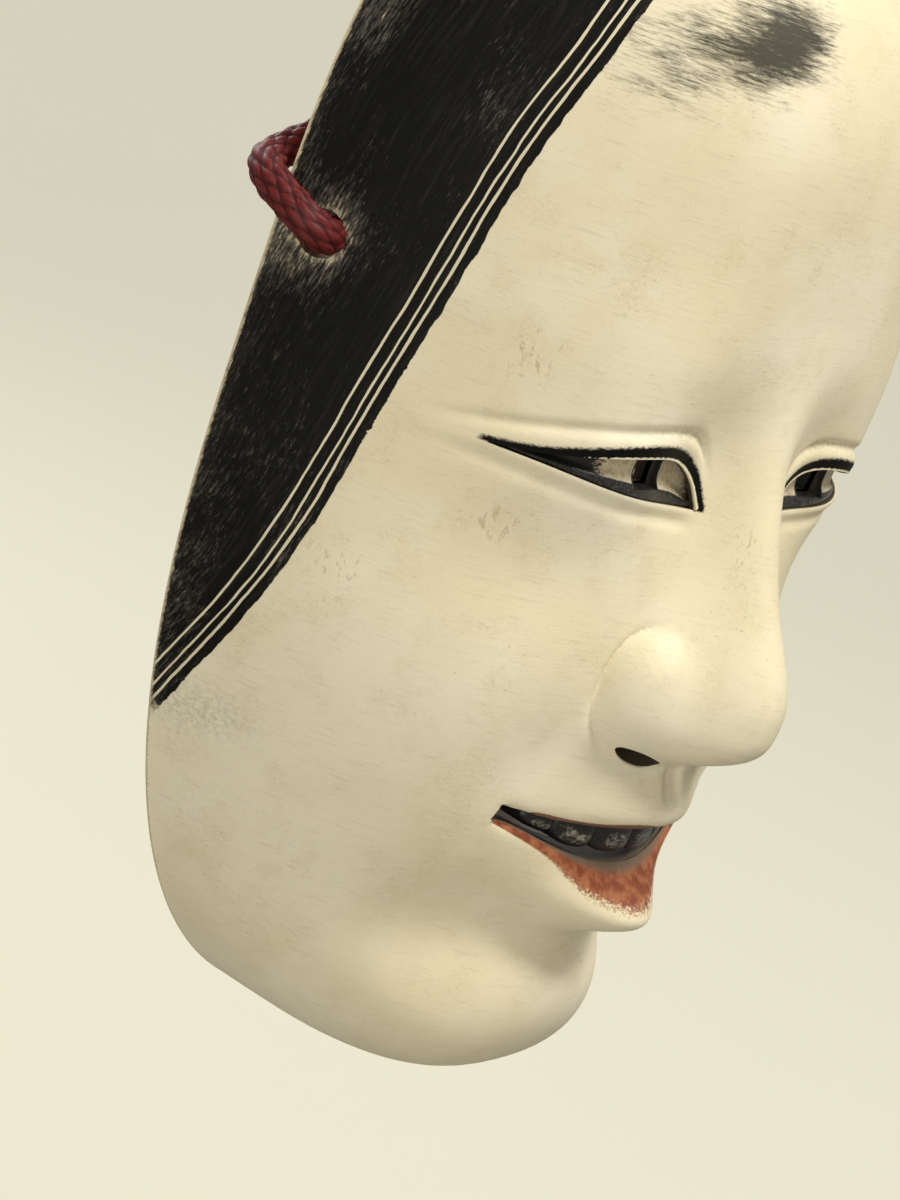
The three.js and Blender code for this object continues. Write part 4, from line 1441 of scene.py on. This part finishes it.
def build_camera():
    right, up, back = camera_axes()
    data = bpy.data.cameras.new("camera")
    data.lens = 75
    data.sensor_width = 36
    data.clip_start = 0.01
    data.clip_end = 20
    camera = bpy.data.objects.new("camera", data)
    place = AIM + back * DISTANCE
    turn = Matrix((right, up, back)).transposed()
    camera.matrix_world = Matrix.Translation(place) @ turn.to_4x4()
    bpy.context.scene.collection.objects.link(camera)
    bpy.context.scene.camera = camera


def area_light(name, place, size, power, colour):
    data = bpy.data.lights.new(name, "AREA")
    data.shape = "DISK"
    data.size = size
    data.energy = power
    data.color = colour
    light = bpy.data.objects.new(name, data)
    light.location = place
    light.rotation_euler = (AIM - Vector(place)).to_track_quat("-Z", "Y").to_euler()
    bpy.context.scene.collection.objects.link(light)


def build_lights():
    right, up, back = camera_axes()
    area_light("key", AIM + right * 0.70 + up * 0.62 + back * 0.42, 0.42, 9.4, (1.0, 0.98, 0.93))
    area_light("fill", AIM - right * 0.20 - up * 0.20 + back * 1.0, 0.8, 5.3, (1.0, 0.965, 0.88))
    area_light("edge", AIM + right * 0.85 + up * 0.55 - back * 0.05, 0.16, 1.2, (1.0, 0.98, 0.93))
    area_light("behind", Vector((0.15, 0.85, 0.45)), 0.6, 7.0, (1.0, 0.98, 0.95))
    bpy.context.scene.view_settings.view_transform = "Standard"
    world = bpy.data.worlds.new("studio")
    bpy.context.scene.world = world
    world.use_nodes = True
    world.node_tree.nodes["Background"].inputs["Color"].default_value = (1.0, 0.95, 0.82, 1)
    world.node_tree.nodes["Background"].inputs["Strength"].default_value = 0.33


FLOOR_HEIGHT, FLOOR_RADIUS, WALL_BEND, WALL_TOP = -0.34, 1.3, 0.7, 1.6


def build_studio(paper):
    """A pale round floor that turns up into a far wall."""
    profile = [(0.0, FLOOR_HEIGHT), (FLOOR_RADIUS, FLOOR_HEIGHT)]
    steps = 12
    for i in range(1, steps + 1):
        t = math.pi / 2 * i / steps
        profile.append((FLOOR_RADIUS + WALL_BEND * math.sin(t),
                        FLOOR_HEIGHT + WALL_BEND * (1 - math.cos(t))))
    profile.append((FLOOR_RADIUS + WALL_BEND, WALL_TOP))
    around = 96
    vertices = [(0, 0, profile[0][1])]
    for radius, height in profile[1:]:
        for i in range(around):
            t = 2 * math.pi * i / around
            vertices.append((radius * math.cos(t), radius * math.sin(t), height))
    faces = [(0, 1 + i, 1 + (i + 1) % around) for i in range(around)]
    for ring in range(len(profile) - 2):
        start = 1 + ring * around
        for i in range(around):
            j = (i + 1) % around
            faces.append((start + i, start + around + i, start + around + j, start + j))
    studio = new_object("studio_floor", vertices, faces)
    dress(studio, paper)
    # the floor shows, but the soft light on the mask comes from the lamps and the world alone
    studio.visible_diffuse = False
    studio.visible_glossy = False


def main():
    build_camera()
    build_lights()
    build_studio(studio_paper())
    silk = red_silk()
    cord, path, length = build_cord(silk)
    knots = [build_knot(name, side, silk) for name, side in SIDES]
    windows, pupils, wide_pupils = eye_windows(), pupil_holes(0), pupil_holes(1)
    through = [mouth_window()] + nostrils() + cord_bores()
    build_coat(windows + through, gesso_paint())
    build_shell(pupils + through, cypress_wood())
    build_lining(wide_pupils + through, hollow_lacquer())
    eye_paint = eyeball_paint()
    for (name, side), pupil in zip(SIDES, pupils):
        build_eyeball(name, side, pupil, eye_paint)
    build_teeth(tooth_paint())
    cloth = cotton_cloth()
    for name, patch in PADS.items():
        build_pad(name, patch, cloth)
    discard(windows + pupils + wide_pupils + through)


main()
